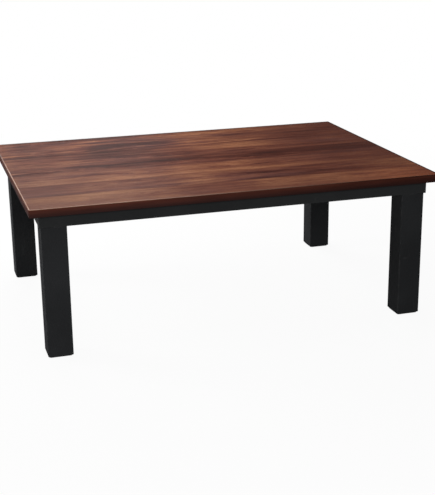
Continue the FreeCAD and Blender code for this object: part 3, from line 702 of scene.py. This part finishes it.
def makeBareWood(name, axis):
    material, tree, shader, place = newMaterial(name)
    grain = useGroup(tree, grainGroup, Vector=alongAxis(tree, place, axis), **bareWood["grain"])
    mottle = useGroup(tree, mottleGroup, Vector=place, Scale=bareWood["mottleScale"])
    deep = colour(*bareWood["deep"])
    base = blend(tree, grain["Streak"], deep, colour(*bareWood["pale"]))
    drift = layer(tree, base, mottle["Slow"], bareWood["driftShare"], bareWood["deep"])
    lined = layer(tree, drift, grain["Fine"], bareWood["lineShare"], bareWood["line"])
    pored = layer(tree, lined, grain["Pores"], bareWood["poreShare"], bareWood["line"])
    across = [0.0 if letter == axis else 1.0 for letter in "xyz"]
    flat = stretch(tree, vectorCalc(tree, "SUBTRACT", place, bareWood["ringCentre"]), across)
    distance = calc(tree, "DIVIDE", vectorCalc(tree, "LENGTH", flat), bareWood["ringSpacing"])
    wobble = noise(tree, flat, bareWood["ringWobbleScale"], detail=2.0)
    wavy = weighted(tree, distance, (wobble, bareWood["ringWobble"]))
    rings = remap(tree, calc(tree, "FRACT", wavy), *bareWood["ringRange"], smooth=False)
    ends = blend(tree, rings, deep, colour(*bareWood["end"]))
    normal = split(tree, put(tree, "ShaderNodeNewGeometry").outputs["Normal"])
    facing = calc(tree, "ABSOLUTE", normal[axis.upper()])
    shade = blend(tree, remap(tree, facing, *bareWood["endFacing"]), pored, ends)
    height = weighted(tree, grain["Fine"], (grain["Pores"], bareWood["poreHeight"]))
    dress(tree, shader, shade, grain["Fine"], height, bareWood)
    return material


# Heater casing: zinc-coated sheet with its crystal pattern

casingSheet = {
    "shades": ((0.20, 0.205, 0.21), (0.335, 0.345, 0.355)),
    "crystalSize": 0.009,
    "rippleShare": 1 / 3,
    "rippleScale": 90.0,
    "tarnish": (0.17, 0.17, 0.165),
    "tarnishShare": 0.5,
    "markShare": 0.5,
    "markScale": 1.6,
    "mottleScale": 14.0,
    "crystalHeight": 0.5,
    "roughness": (0.34, 0.52),
    "bump": 0.08,
    "relief": 0.0004,
    "metallic": 1.0,
}


def makeCasing():
    material, tree, shader, place = newMaterial("zincCoatedSheet")
    size = casingSheet["crystalSize"]
    ripple = put(tree, "ShaderNodeTexNoise", {
        "Vector": place, "Scale": casingSheet["rippleScale"], "Detail": 2.0}).outputs["Color"]
    reach = size * casingSheet["rippleShare"]
    bent = vectorCalc(tree, "ADD", place, stretch(tree, ripple, (reach, reach, reach)))
    cells = put(tree, "ShaderNodeTexVoronoi", {"Vector": bent, "Scale": 1.0 / size}).outputs["Color"]
    crystal = put(tree, "ShaderNodeSeparateColor", {"Color": cells}).outputs
    mottle = useGroup(tree, mottleGroup, Vector=place, Scale=casingSheet["mottleScale"])
    marks = useGroup(tree, scratchGroup, Vector=place, Scale=casingSheet["markScale"])["Marks"]
    deep, pale = casingSheet["shades"]
    base = blend(tree, crystal["Red"], colour(*deep), colour(*pale))
    dull = layer(tree, base, mottle["Slow"], casingSheet["tarnishShare"], casingSheet["tarnish"])
    marked = layer(tree, dull, marks, casingSheet["markShare"], pale)
    height = weighted(tree, mottle["Speckle"], (crystal["Blue"], casingSheet["crystalHeight"]))
    dress(tree, shader, marked, crystal["Green"], height, casingSheet)
    return material


# Heater tube: clear quartz with a faint haze

quartz = {
    "tint": (0.96, 0.96, 0.97),
    "hazeScale": 40.0,
    "roughness": (0.02, 0.08),
    "ior": 1.46,
}


def makeQuartz():
    material, tree, shader, place = newMaterial("quartzGlass")
    haze = useGroup(tree, mottleGroup, Vector=place, Scale=quartz["hazeScale"])["Slow"]
    tree.links.new(remap(tree, haze, 0.0, 1.0, *quartz["roughness"]), shader.inputs["Roughness"])
    shader.inputs["Base Color"].default_value = colour(*quartz["tint"])
    shader.inputs["Transmission Weight"].default_value = 1.0
    shader.inputs["IOR"].default_value = quartz["ior"]
    return material


# Small parts: every finish has two shades, a pattern of its own size in metres, a stain and rub marks

finishes = {
    "particle_board": {
        "name": "particleBoard", "pattern": "cells", "size": 0.0025, "roughness": (0.7, 0.9),
        "shades": ((0.40, 0.27, 0.15), (0.58, 0.43, 0.27)), "stain": (0.30, 0.19, 0.10), "bump": 0.4},
    "zinc_steel": {
        "name": "zincPlate", "pattern": "cells", "size": 0.0009, "roughness": (0.28, 0.45), "metallic": 1.0,
        "shades": ((0.22, 0.225, 0.22), (0.32, 0.315, 0.29)), "stain": (0.25, 0.22, 0.15), "bump": 0.1},
    "pad_rubber": {
        "name": "padRubber", "pattern": "pits", "size": 0.0011, "roughness": (0.7, 0.9),
        "shades": ((0.024, 0.024, 0.025), (0.042, 0.042, 0.043)), "stain": (0.07, 0.068, 0.065), "bump": 0.4},
    "glide_plastic": {
        "name": "glidePlastic", "pattern": "pits", "size": 0.0008, "roughness": (0.45, 0.65),
        "shades": ((0.026, 0.026, 0.027), (0.040, 0.040, 0.041)), "stain": (0.09, 0.088, 0.085), "bump": 0.2},
    "insulation": {
        "name": "mineralSheet", "pattern": "fibres", "size": 0.0016, "roughness": (0.85, 0.95),
        "shades": ((0.56, 0.53, 0.47), (0.76, 0.73, 0.67)), "stain": (0.50, 0.42, 0.31), "bump": 0.6},
    "reflector_metal": {
        "name": "reflectorMetal", "pattern": "brushed", "size": 0.0022, "roughness": (0.12, 0.25),
        "metallic": 1.0, "shades": ((0.74, 0.75, 0.77), (0.86, 0.87, 0.88)), "stain": (0.72, 0.66, 0.52),
        "bump": 0.08},
    "element_wire": {
        "name": "elementWire", "pattern": "cells", "size": 0.0007, "roughness": (0.4, 0.6), "metallic": 0.8,
        "shades": ((0.20, 0.17, 0.15), (0.33, 0.27, 0.23)), "stain": (0.16, 0.18, 0.26), "bump": 0.2},
    "ceramic": {
        "name": "steatite", "pattern": "pits", "size": 0.0009, "roughness": (0.45, 0.65),
        "shades": ((0.72, 0.69, 0.62), (0.83, 0.80, 0.74)), "stain": (0.62, 0.50, 0.36), "bump": 0.2},
    "spring_steel": {
        "name": "springStrip", "pattern": "brushed", "size": 0.0009, "roughness": (0.3, 0.45),
        "metallic": 1.0, "shades": ((0.34, 0.34, 0.35), (0.46, 0.46, 0.47)), "stain": (0.36, 0.30, 0.22),
        "bump": 0.1},
    "guard_black": {
        "name": "guardPaint", "pattern": "pits", "size": 0.0012, "roughness": (0.40, 0.60),
        "shades": ((0.011, 0.011, 0.012), (0.020, 0.020, 0.021)), "stain": (0.030, 0.028, 0.026),
        "chips": (0.12, 0.12, 0.12), "bump": 0.35},
    "thermostat_resin": {
        "name": "thermostatResin", "pattern": "pits", "size": 0.0008, "roughness": (0.40, 0.55),
        "shades": ((0.055, 0.032, 0.019), (0.085, 0.052, 0.032)), "stain": (0.11, 0.075, 0.050), "bump": 0.2},
    "fuse_case": {
        "name": "fuseCase", "pattern": "brushed", "size": 0.0007, "roughness": (0.3, 0.45), "metallic": 1.0,
        "shades": ((0.50, 0.46, 0.40), (0.61, 0.56, 0.49)), "stain": (0.42, 0.34, 0.25), "bump": 0.1},
    "terminal_plastic": {
        "name": "terminalPlastic", "pattern": "pits", "size": 0.0008, "roughness": (0.3, 0.45),
        "shades": ((0.66, 0.64, 0.58), (0.74, 0.72, 0.66)), "stain": (0.60, 0.54, 0.42), "bump": 0.12},
    "inlet_plastic": {
        "name": "inletPlastic", "pattern": "pits", "size": 0.0008, "roughness": (0.3, 0.45),
        "shades": ((0.018, 0.018, 0.018), (0.030, 0.030, 0.030)), "stain": (0.05, 0.048, 0.045), "bump": 0.2},
    "brass": {
        "name": "turnedBrass", "pattern": "brushed", "size": 0.0006, "roughness": (0.25, 0.40),
        "metallic": 1.0, "shades": ((0.60, 0.42, 0.18), (0.74, 0.54, 0.24)), "stain": (0.42, 0.27, 0.12),
        "bump": 0.1},
    "lead_sleeve": {
        "name": "leadSleeve", "pattern": "weave", "size": 0.0014, "roughness": (0.6, 0.8),
        "shades": ((0.50, 0.49, 0.45), (0.70, 0.69, 0.65)), "stain": (0.52, 0.44, 0.33), "bump": 0.5},
}
everyFinish = {
    "mottleScale": 30.0,
    "markScale": 3.0,
    "patternShare": 0.65,
    "speckleShare": 0.35,
    "stainShare": 0.4,
    "markShare": 0.5,
    "markHeight": -0.5,
    "dust": (0.50, 0.48, 0.45),
    "dustShare": 0.3,
    "specular": 0.4,
}
patternRanges = {
    "pits": (0.1, 0.55),
    "weave": (-0.8, 0.8),
    "brushed": (0.3, 0.7),
    "fibres": (0.45, 0.70),
}
strands = {"thin": 25.0, "length": 0.05, "roughness": 0.6}


def makeStrands(tree, place, axis, size):
    # Fine lines that run along one axis.
    thin = [1.0 if letter == axis else strands["thin"] for letter in "xyz"]
    return noise(tree, stretch(tree, place, thin), strands["length"] / size, roughness=strands["roughness"])


def makePattern(tree, place, kind, size):
    # A share from 0 to 1 that gives the finish its small-scale look.
    if kind in ("cells", "pits"):
        cells = put(tree, "ShaderNodeTexVoronoi", {"Vector": place, "Scale": 1.0 / size}).outputs
        if kind == "cells":
            return put(tree, "ShaderNodeSeparateColor", {"Color": cells["Color"]}).outputs["Red"]
        value = cells["Distance"]
    elif kind == "weave":
        x, y, z = split(tree, place)
        waves = []
        for turn in ("ADD", "SUBTRACT"):
            way = calc(tree, "ADD", calc(tree, turn, x, y), z)
            waves.append(calc(tree, "SINE", times(tree, way, 2 * math.pi / size)))
        value = times(tree, *waves)
    elif kind == "fibres":
        value = calc(tree, "MAXIMUM", *(makeStrands(tree, place, axis, size) for axis in "xy"))
    else:
        value = makeStrands(tree, place, "x", size)
    return remap(tree, value, *patternRanges[kind])


def makeFinish(settings):
    settings = {**everyFinish, **settings}
    material, tree, shader, place = newMaterial(settings["name"])
    mottle = useGroup(tree, mottleGroup, Vector=place, Scale=settings["mottleScale"])
    marks = useGroup(tree, scratchGroup, Vector=place, Scale=settings["markScale"])["Marks"]
    pattern = makePattern(tree, place, settings["pattern"], settings["size"])
    deep, pale = settings["shades"]
    share = weighted(tree, times(tree, pattern, settings["patternShare"]),
                     (mottle["Speckle"], settings["speckleShare"]))
    base = blend(tree, share, colour(*deep), colour(*pale))
    stained = layer(tree, base, mottle["Slow"], settings["stainShare"], settings["stain"])
    marked = layer(tree, stained, marks, settings["markShare"], settings.get("chips", pale))
    dusty = layer(tree, marked, mottle["Dust"], settings["dustShare"], settings["dust"])
    height = weighted(tree, calc(tree, "ADD", pattern, mottle["Speckle"]), (marks, settings["markHeight"]))
    dress(tree, shader, dusty, mottle["Speckle"], height, settings)
    return material


# Every node gets its finish

paint("board_surface_sheet", makeWalnut())
legMiddle, legHalf = boxMiddle("leg_rear_right")
makeBlackPaint("blackPaintLegs", ["leg_front_left", "leg_front_right", "leg_rear_left", "leg_rear_right"],
               "legs", "z", legMiddle, legHalf)
ringMiddle, ringHalf = boxMiddle("apron_front", "apron_rear")
makeBlackPaint("blackPaintLongRails", ["apron_front", "apron_rear"], "rails", "x", ringMiddle, ringHalf)
makeBlackPaint("blackPaintShortRails", ["apron_left", "apron_right"], "rails", "y", ringMiddle, ringHalf)
print("board and frame painted")

slotMaterials = {slotName: makeFinish(settings) for slotName, settings in finishes.items()}
slotMaterials["edge_band"] = makeEdgeBand()
slotMaterials["backer_sheet"] = makeBacking()
slotMaterials["casing_steel"] = makeCasing()
slotMaterials["quartz"] = makeQuartz()
woodAcross = makeBareWood("bareWoodY", "y")
woodAlong = makeBareWood("bareWoodX", "x")
for node, slotName in slotOf.items():
    if slotName in slotMaterials:
        paint(node, slotMaterials[slotName])
    elif slotName == "bare_wood":
        paint(node, woodAlong if node.startswith("batten") else woodAcross)
print("materials made")


# Mesh helpers for the pieces that are finer than the CAD solids

def newPiece(name, shapes, replaced, sharpDegrees=35.0):
    mesh = bpy.data.meshes.new(name)
    vertices, faces = [], []
    for someVertices, someFaces in shapes:
        start = len(vertices)
        vertices += [tuple(vertex) for vertex in someVertices]
        faces += [tuple(start + corner for corner in face) for face in someFaces]
    mesh.from_pydata(vertices, [], faces)
    mesh.materials.append(slotMaterials[slotOf[replaced]])
    mesh.shade_smooth()
    mesh.set_sharp_from_angle(angle=math.radians(sharpDegrees))
    piece = bpy.data.objects.new(name, mesh)
    bpy.context.collection.objects.link(piece)
    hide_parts(replaced)
    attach(piece, bodies[replaced])


def moved(shape, offset, turn=None):
    vertices, faces = shape
    turn = turn or Matrix.Identity(3)
    return [turn @ Vector(vertex) + Vector(offset) for vertex in vertices], faces


def turned(degrees):
    return Matrix.Rotation(math.radians(degrees), 3, "Z")


def mirrored(places):
    return [(x * sideX, y * sideY) for sideX in (-1, 1) for sideY in (-1, 1) for x, y in places]


def onCircle(radius, height, angle):
    return Vector((radius * math.cos(angle), radius * math.sin(angle), height))


def gridFaces(rows, columns):
    # Faces of a tube of rings, with a cap at both ends.
    faces = []
    for row in range(rows - 1):
        for column in range(columns):
            after = (column + 1) % columns
            faces.append((row * columns + column, row * columns + after,
                          (row + 1) * columns + after, (row + 1) * columns + column))
    faces.append(tuple(reversed(range(columns))))
    faces.append(tuple((rows - 1) * columns + column for column in range(columns)))
    return faces


def sweep(points, radius, sides):
    # A round wire along a path. Its rings are carried along, so it doesn't twist.
    vertices = []
    across = None
    for place, point in enumerate(points):
        before = points[max(place - 1, 0)]
        after = points[min(place + 1, len(points) - 1)]
        along = (after - before).normalized()
        if across is None:
            across = along.orthogonal().normalized()
        across = (across - along * across.dot(along)).normalized()
        other = along.cross(across)
        for side in range(sides):
            angle = 2 * math.pi * side / sides
            vertices.append(point + (across * math.cos(angle) + other * math.sin(angle)) * radius)
    return vertices, gridFaces(len(points), sides)


def lathe(profile, sides):
    # Rings about the Z axis from a list of radius and height.
    vertices = []
    for radius, height in profile:
        vertices += [onCircle(radius, height, 2 * math.pi * side / sides) for side in range(sides)]
    return vertices, gridFaces(len(profile), sides)


threadEnds = {"topShare": 0.8, "topSlope": 1.2, "tipShare": 0.15}


def thread(bottom, top, crest, root, pitch, point=0.0, sides=20, steps=6):
    # A screw thread between two heights, narrowed at both ends. Point is the length of its tip.
    rows = max(2, round((top - bottom) / pitch * steps))
    vertices = []
    for row in range(rows + 1):
        height = bottom + (top - bottom) * row / rows
        limit = root * threadEnds["topShare"] + (top - height) * threadEnds["topSlope"]
        if point:
            limit = min(limit, crest * (threadEnds["tipShare"] + (height - bottom) / point))
        for side in range(sides):
            phase = (height / pitch - side / sides) % 1.0
            ridge = 1 - abs(2 * phase - 1)
            radius = min(root + (crest - root) * ridge, limit)
            vertices.append(onCircle(radius, height, 2 * math.pi * side / sides))
    return vertices, gridFaces(rows + 1, sides)


# Leg fasteners: hanger bolts with a wood thread and a machine thread, and hex nuts with turned corners

legBolt = {
    "inwardShift": 0.006,
    "spread": 0.012,
    "radius": 0.004,
    "root": 0.0033,
    "pitch": 0.00125,
    "woodPitch": 0.003,
    "woodRoot": 0.0026,
    "woodTop": 0.322,
    "machineBottom": 0.336,
    "shankOverlap": 0.001,
    "tipLength": 0.007,
    "sides": 20,
}
nut = {
    "acrossFlats": 0.013,
    "bore": 0.0041,
    "turnedShare": 0.97,
    "cornerSlope": 0.55,
    "sides": 72,
    "turnStep": 37.0,
}


def hexNut(bottom, top):
    flat = nut["acrossFlats"] / 2
    rim = flat * nut["turnedShare"]
    sides = nut["sides"]
    rings = ((bottom, 1, nut["bore"]), (bottom, 1, rim), (bottom, 1, None),
             (top, -1, None), (top, -1, rim), (top, -1, nut["bore"]))
    vertices = []
    for height, outward, ring in rings:
        for side in range(sides):
            angle = 2 * math.pi * side / sides
            fromFlat = (angle + math.pi / 6) % (math.pi / 3) - math.pi / 6
            corner = flat / math.cos(fromFlat)
            radius = min(ring, corner) if ring else corner
            drop = 0.0 if ring else (corner - rim) * nut["cornerSlope"]
            vertices.append(onCircle(radius, height + outward * drop, angle))
    return vertices, gridFaces(len(rings), sides)


def makeLegFasteners():
    boltLow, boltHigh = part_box("leg_hanger_bolts")
    nutLow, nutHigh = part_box("leg_nuts")
    radius, root = legBolt["radius"], legBolt["root"]
    woodTop, machineBottom = legBolt["woodTop"], legBolt["machineBottom"]
    overlap = legBolt["shankOverlap"]
    wood = thread(boltLow[2], woodTop, radius, legBolt["woodRoot"], legBolt["woodPitch"],
                  point=legBolt["tipLength"])
    shank = lathe(((root, woodTop - overlap), (root, machineBottom + overlap)), legBolt["sides"])
    machine = thread(machineBottom, boltHigh[2], radius, root, legBolt["pitch"])
    inner = legBolt["inwardShift"] + legBolt["spread"]
    outer = legBolt["spread"] - legBolt["inwardShift"]
    legX, legY = legMiddle[:2]
    onLeg = ((legX + outer, legY - inner), (legX - inner, legY + outer))
    bolts, nuts = [], []
    for count, (x, y) in enumerate(mirrored(onLeg)):
        bolts += [moved(shape, (x, y, 0)) for shape in (wood, shank, machine)]
        nuts.append(moved(hexNut(nutLow[2], nutHigh[2]), (x, y, 0), turned(nut["turnStep"] * count)))
    newPiece("hangerBoltThreads", bolts, "leg_hanger_bolts")
    newPiece("turnedHexNuts", nuts, "leg_nuts", sharpDegrees=25.0)


# Screws with a cross recess in a domed head

hangingScrew = {"places": ((0.155, 0.100),), "head": 0.0042, "height": 0.0026, "shank": 0.0020,
                "pitch": 0.0014}
guardScrew = {"places": ((0.135, 0.090), (0.090, 0.135)), "head": 0.0034, "height": 0.0022, "shank": 0.0015,
              "pitch": 0.0011}
screwHead = {
    "sides": 40,
    "footShare": 0.94,
    "rimShares": (0.12, 0.42),
    "domeSteps": 6,
    "domeShare": 0.65,
    "recessLengthShare": 0.56,
    "recessWidthShare": 0.13,
    "recessShares": ((0.35, 0.45), (1.3, 1.05)),  # of the head's height, and of the recess's length there
}
screwShank = {"rootShare": 0.72, "tip": 0.002, "overlap": 0.0002, "sides": 14, "steps": 4}
screwTurn = {"first": 11.0, "step": 53.0}


def plainObject(name, shape):
    mesh = bpy.data.meshes.new(name)
    mesh.from_pydata([tuple(vertex) for vertex in shape[0]], [], shape[1])
    thing = bpy.data.objects.new(name, mesh)
    bpy.context.collection.objects.link(thing)
    return thing


def crossHead(radius, height):
    # The head is turned, and a tapered cross is cut out of its top.
    rimLow, rimHigh = screwHead["rimShares"]
    dome = screwHead["domeShare"]
    profile = [(radius * screwHead["footShare"], 0.0), (radius, height * rimLow), (radius, height * rimHigh)]
    for step in range(1, screwHead["domeSteps"] + 1):
        angle = math.pi / 2 * step / screwHead["domeSteps"]
        profile.append((radius * (1 - dome + dome * math.cos(angle)),
                        height * (rimHigh + (1 - rimHigh) * math.sin(angle))))
    head = plainObject("screwHeadBlank", lathe(profile, screwHead["sides"]))
    length, width = radius * screwHead["recessLengthShare"], radius * screwHead["recessWidthShare"]
    corners = []
    for level, share in screwHead["recessShares"]:
        for x, y in ((-1, -1), (1, -1), (1, 1), (-1, 1)):
            corners.append(Vector((x * length * share, y * width, height * level)))
    faces = [(3, 2, 1, 0), (4, 5, 6, 7), (0, 1, 5, 4), (1, 2, 6, 5), (2, 3, 7, 6), (3, 0, 4, 7)]
    bars = [moved((corners, faces), (0, 0, 0), turned(angle)) for angle in (0, 90)]
    cutters = [plainObject("crossCutter", bar) for bar in bars]
    for cutter in cutters:
        recess = head.modifiers.new("recess", "BOOLEAN")
        recess.operation = "DIFFERENCE"
        recess.solver = "EXACT"
        recess.object = cutter
    depsgraph = bpy.context.evaluated_depsgraph_get()
    mesh = bpy.data.meshes.new_from_object(head.evaluated_get(depsgraph))
    shape = [vertex.co.copy() for vertex in mesh.vertices], [tuple(face.vertices) for face in mesh.polygons]
    for thing in [head] + cutters:
        bpy.data.objects.remove(thing)
    bpy.data.meshes.remove(mesh)
    return shape


def makeScrews(name, screw, node, facingDown):
    low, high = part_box(node)
    headHeight = screw["height"]
    seat = low[2] + headHeight if facingDown else high[2] - headHeight
    flip = Matrix.Rotation(math.pi, 3, "X") if facingDown else Matrix.Identity(3)
    length = high[2] - low[2] - headHeight
    overlap = screwShank["overlap"]
    shank = thread(0.0, length + overlap, screw["shank"], screw["shank"] * screwShank["rootShare"],
                   screw["pitch"], point=screwShank["tip"], sides=screwShank["sides"],
                   steps=screwShank["steps"])
    sunk = moved(shank, (0, 0, overlap - length))
    head = crossHead(screw["head"], headHeight)
    shapes = []
    for count, (x, y) in enumerate(mirrored(screw["places"])):
        spin = turned(screwTurn["first"] + screwTurn["step"] * count)
        shapes.append(moved(head, (x, y, seat), flip @ spin))
        shapes.append(moved(sunk, (x, y, seat), flip))
    newPiece(name, shapes, node, sharpDegrees=30.0)


# Heating coil: a wound wire inside the quartz tube, on the U-shaped path of its solid

coil = {
    "solidRadius": 0.0042,
    "radius": 0.0036,
    "wire": 0.00045,
    "pitch": 0.0026,
    "tail": 0.006,
    "pointsPerTurn": 10,
    "wireSides": 6,
}


def coilPath():
    # Half the distance between the two legs of the U, the start and the bend along Y, and the height.
    low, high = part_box("heating_element")
    spacing = high[0] - coil["solidRadius"]
    return spacing, low[1], high[1] - high[0], (low[2] + high[2]) / 2


def coilCentre(distance, path):
    # Place and sideways direction on the path, at a distance from its start.
    spacing, startY, bendY, level = path
    straight = bendY - startY
    bend = math.pi * spacing
    if distance <= straight:
        return Vector((-spacing, startY + distance, level)), Vector((-1, 0, 0))
    if distance <= straight + bend:
        angle = (distance - straight) / spacing
        out = Vector((-math.cos(angle), math.sin(angle), 0))
        return Vector((0, bendY, level)) + out * spacing, out
    return Vector((spacing, bendY - (distance - straight - bend), level)), Vector((1, 0, 0))


def makeCoil():
    path = coilPath()
    spacing, startY, bendY = path[:3]
    total = 2 * (bendY - startY) + math.pi * spacing
    count = round(total / coil["pitch"]) * coil["pointsPerTurn"]
    points = []
    for place in range(count + 1):
        distance = total * place / count
        centre, out = coilCentre(distance, path)
        grown = min(1.0, min(distance, total - distance) / coil["tail"])
        angle = 2 * math.pi * place / coil["pointsPerTurn"]
        reach = coil["radius"] * grown
        points.append(centre + (out * math.cos(angle) + Vector((0, 0, 1)) * math.sin(angle)) * reach)
    wire = sweep(points, coil["wire"], coil["wireSides"])
    newPiece("woundElement", [wire], "heating_element", sharpDegrees=80.0)


makeLegFasteners()
makeScrews("crossHeadHangingScrews", hangingScrew, "heater_hanging_screws", False)
makeScrews("crossHeadGuardScrews", guardScrew, "guard_screws", True)
makeCoil()
print("fine pieces made")


# Studio: white world, white floor that keeps the table's shadow, and five softboxes

studio = {
    "ambient": 0.12,
    "floorReach": 30.0,
    "floorRoughness": 0.9,
    "floorBounce": 0.33,
    "floorSeen": 0.90,
    "floorNear": 0.94,
    "floorGlossy": 0.15,
    "whiteFrom": 0.8,
    "whiteBeyond": 2.4,
}
softboxes = {
    "keySoftbox": {
        "place": (-0.27, 0.0, 1.05), "target": (-0.27, 0.0, 0.3), "size": (0.5, 1.5), "power": 5.9},
    "sideSoftbox": {
        "place": (-2.0, 0.9, 1.3), "target": (-0.4, 0.0, 0.2), "size": (0.8, 0.8), "power": 20.0},
    "rightSoftbox": {
        "place": (2.6, 0.4, 0.55), "target": (0.0, 0.0, 0.25), "size": (0.8, 0.8), "power": 7.5},
    "frontSoftbox": {
        "place": (-0.55, -2.55, 1.05), "target": (-0.2, 0.0, 0.2), "size": (1.4, 0.5), "power": 16.0},
    "backSoftbox": {
        "place": (-0.25, 2.5, 1.28), "target": (-0.3, 0.0, 0.385), "size": (1.6, 0.7), "power": 54.0},
}


def makeWorld():
    world = bpy.data.worlds.new("studio")
    bpy.context.scene.world = world
    world.use_nodes = True
    tree = world.node_tree
    background = tree.nodes["Background"]
    path = put(tree, "ShaderNodeLightPath").outputs
    seen = calc(tree, "MAXIMUM", path["Is Camera Ray"], path["Is Glossy Ray"])
    seen = calc(tree, "MAXIMUM", seen, path["Is Transmission Ray"])
    strength = remap(tree, seen, 0.0, 1.0, studio["ambient"], 1.0, smooth=False)
    tree.links.new(strength, background.inputs["Strength"])
    background.inputs["Color"].default_value = colour(1.0, 1.0, 1.0)


def makeFloor():
    reach = studio["floorReach"]
    corners = [(-reach, -reach, 0), (reach, -reach, 0), (reach, reach, 0), (-reach, reach, 0)]
    floor = plainObject("studioFloor", (corners, [(0, 1, 2, 3)]))
    material, tree, shader, place = newMaterial("floorWhite")
    shader.inputs["Roughness"].default_value = studio["floorRoughness"]
    shader.inputs["Specular IOR Level"].default_value = 0.0
    path = put(tree, "ShaderNodeLightPath").outputs
    pale = remap(tree, path["Is Camera Ray"], 0.0, 1.0, studio["floorBounce"], studio["floorSeen"],
                 smooth=False)
    tree.links.new(join(tree, pale, pale, pale), shader.inputs["Base Color"])
    # a white glow takes over with the distance from the table, and in what metal and glass show
    reflected = calc(tree, "MAXIMUM", path["Is Glossy Ray"], path["Is Transmission Ray"])
    distance = vectorCalc(tree, "LENGTH", place)
    share = remap(tree, distance, studio["whiteFrom"], studio["whiteBeyond"], studio["floorNear"], 1.0)
    seen = calc(tree, "MAXIMUM", times(tree, path["Is Camera Ray"], share),
                times(tree, reflected, studio["floorGlossy"]))
    glow = put(tree, "ShaderNodeEmission", {"Color": colour(1, 1, 1), "Strength": 1.0})
    mix = put(tree, "ShaderNodeMixShader", {0: seen, 1: shader.outputs[0], 2: glow.outputs[0]})
    tree.links.new(mix.outputs[0], tree.nodes["Material Output"].inputs["Surface"])
    floor.data.materials.append(material)


def addLamp(name, settings):
    data = bpy.data.lights.new(name, "AREA")
    data.shape = "RECTANGLE"
    data.size, data.size_y = settings["size"]
    data.energy = settings["power"]
    lamp = bpy.data.objects.new(name, data)
    place, target = Vector(settings["place"]), Vector(settings["target"])
    lamp.location = place
    lamp.rotation_euler = (target - place).to_track_quat("-Z", "Y").to_euler()
    lamp.visible_camera = False
    bpy.context.collection.objects.link(lamp)


# Camera: place and turn from the pinhole fit to the photograph's corners, focal length in pixels

photoView = {
    "place": (-0.8092, -2.83137, 1.06117),
    "focal": 1098.7,
    "pictureHeight": 495,
    "sensor": 36.0,
    "side": (0.95681, -0.2905, -0.01077),
    "down": (-0.09751, -0.28581, -0.95331),
    "forward": (0.27386, 0.91319, -0.30179),
}


def makeCamera():
    data = bpy.data.cameras.new("photoCamera")
    data.sensor_width = photoView["sensor"]
    data.lens = photoView["focal"] / photoView["pictureHeight"] * photoView["sensor"]
    camera = bpy.data.objects.new("photoCamera", data)
    side, down, forward = (Vector(photoView[key]).normalized() for key in ("side", "down", "forward"))
    turn = Matrix((side, -down, -forward)).transposed()
    camera.matrix_world = Matrix.Translation(photoView["place"]) @ turn.to_4x4()
    bpy.context.collection.objects.link(camera)
    bpy.context.scene.camera = camera


makeWorld()
makeFloor()
for name, settings in softboxes.items():
    addLamp(name, settings)
makeCamera()
bpy.context.scene.view_settings.view_transform = "Standard"
print("studio ready")
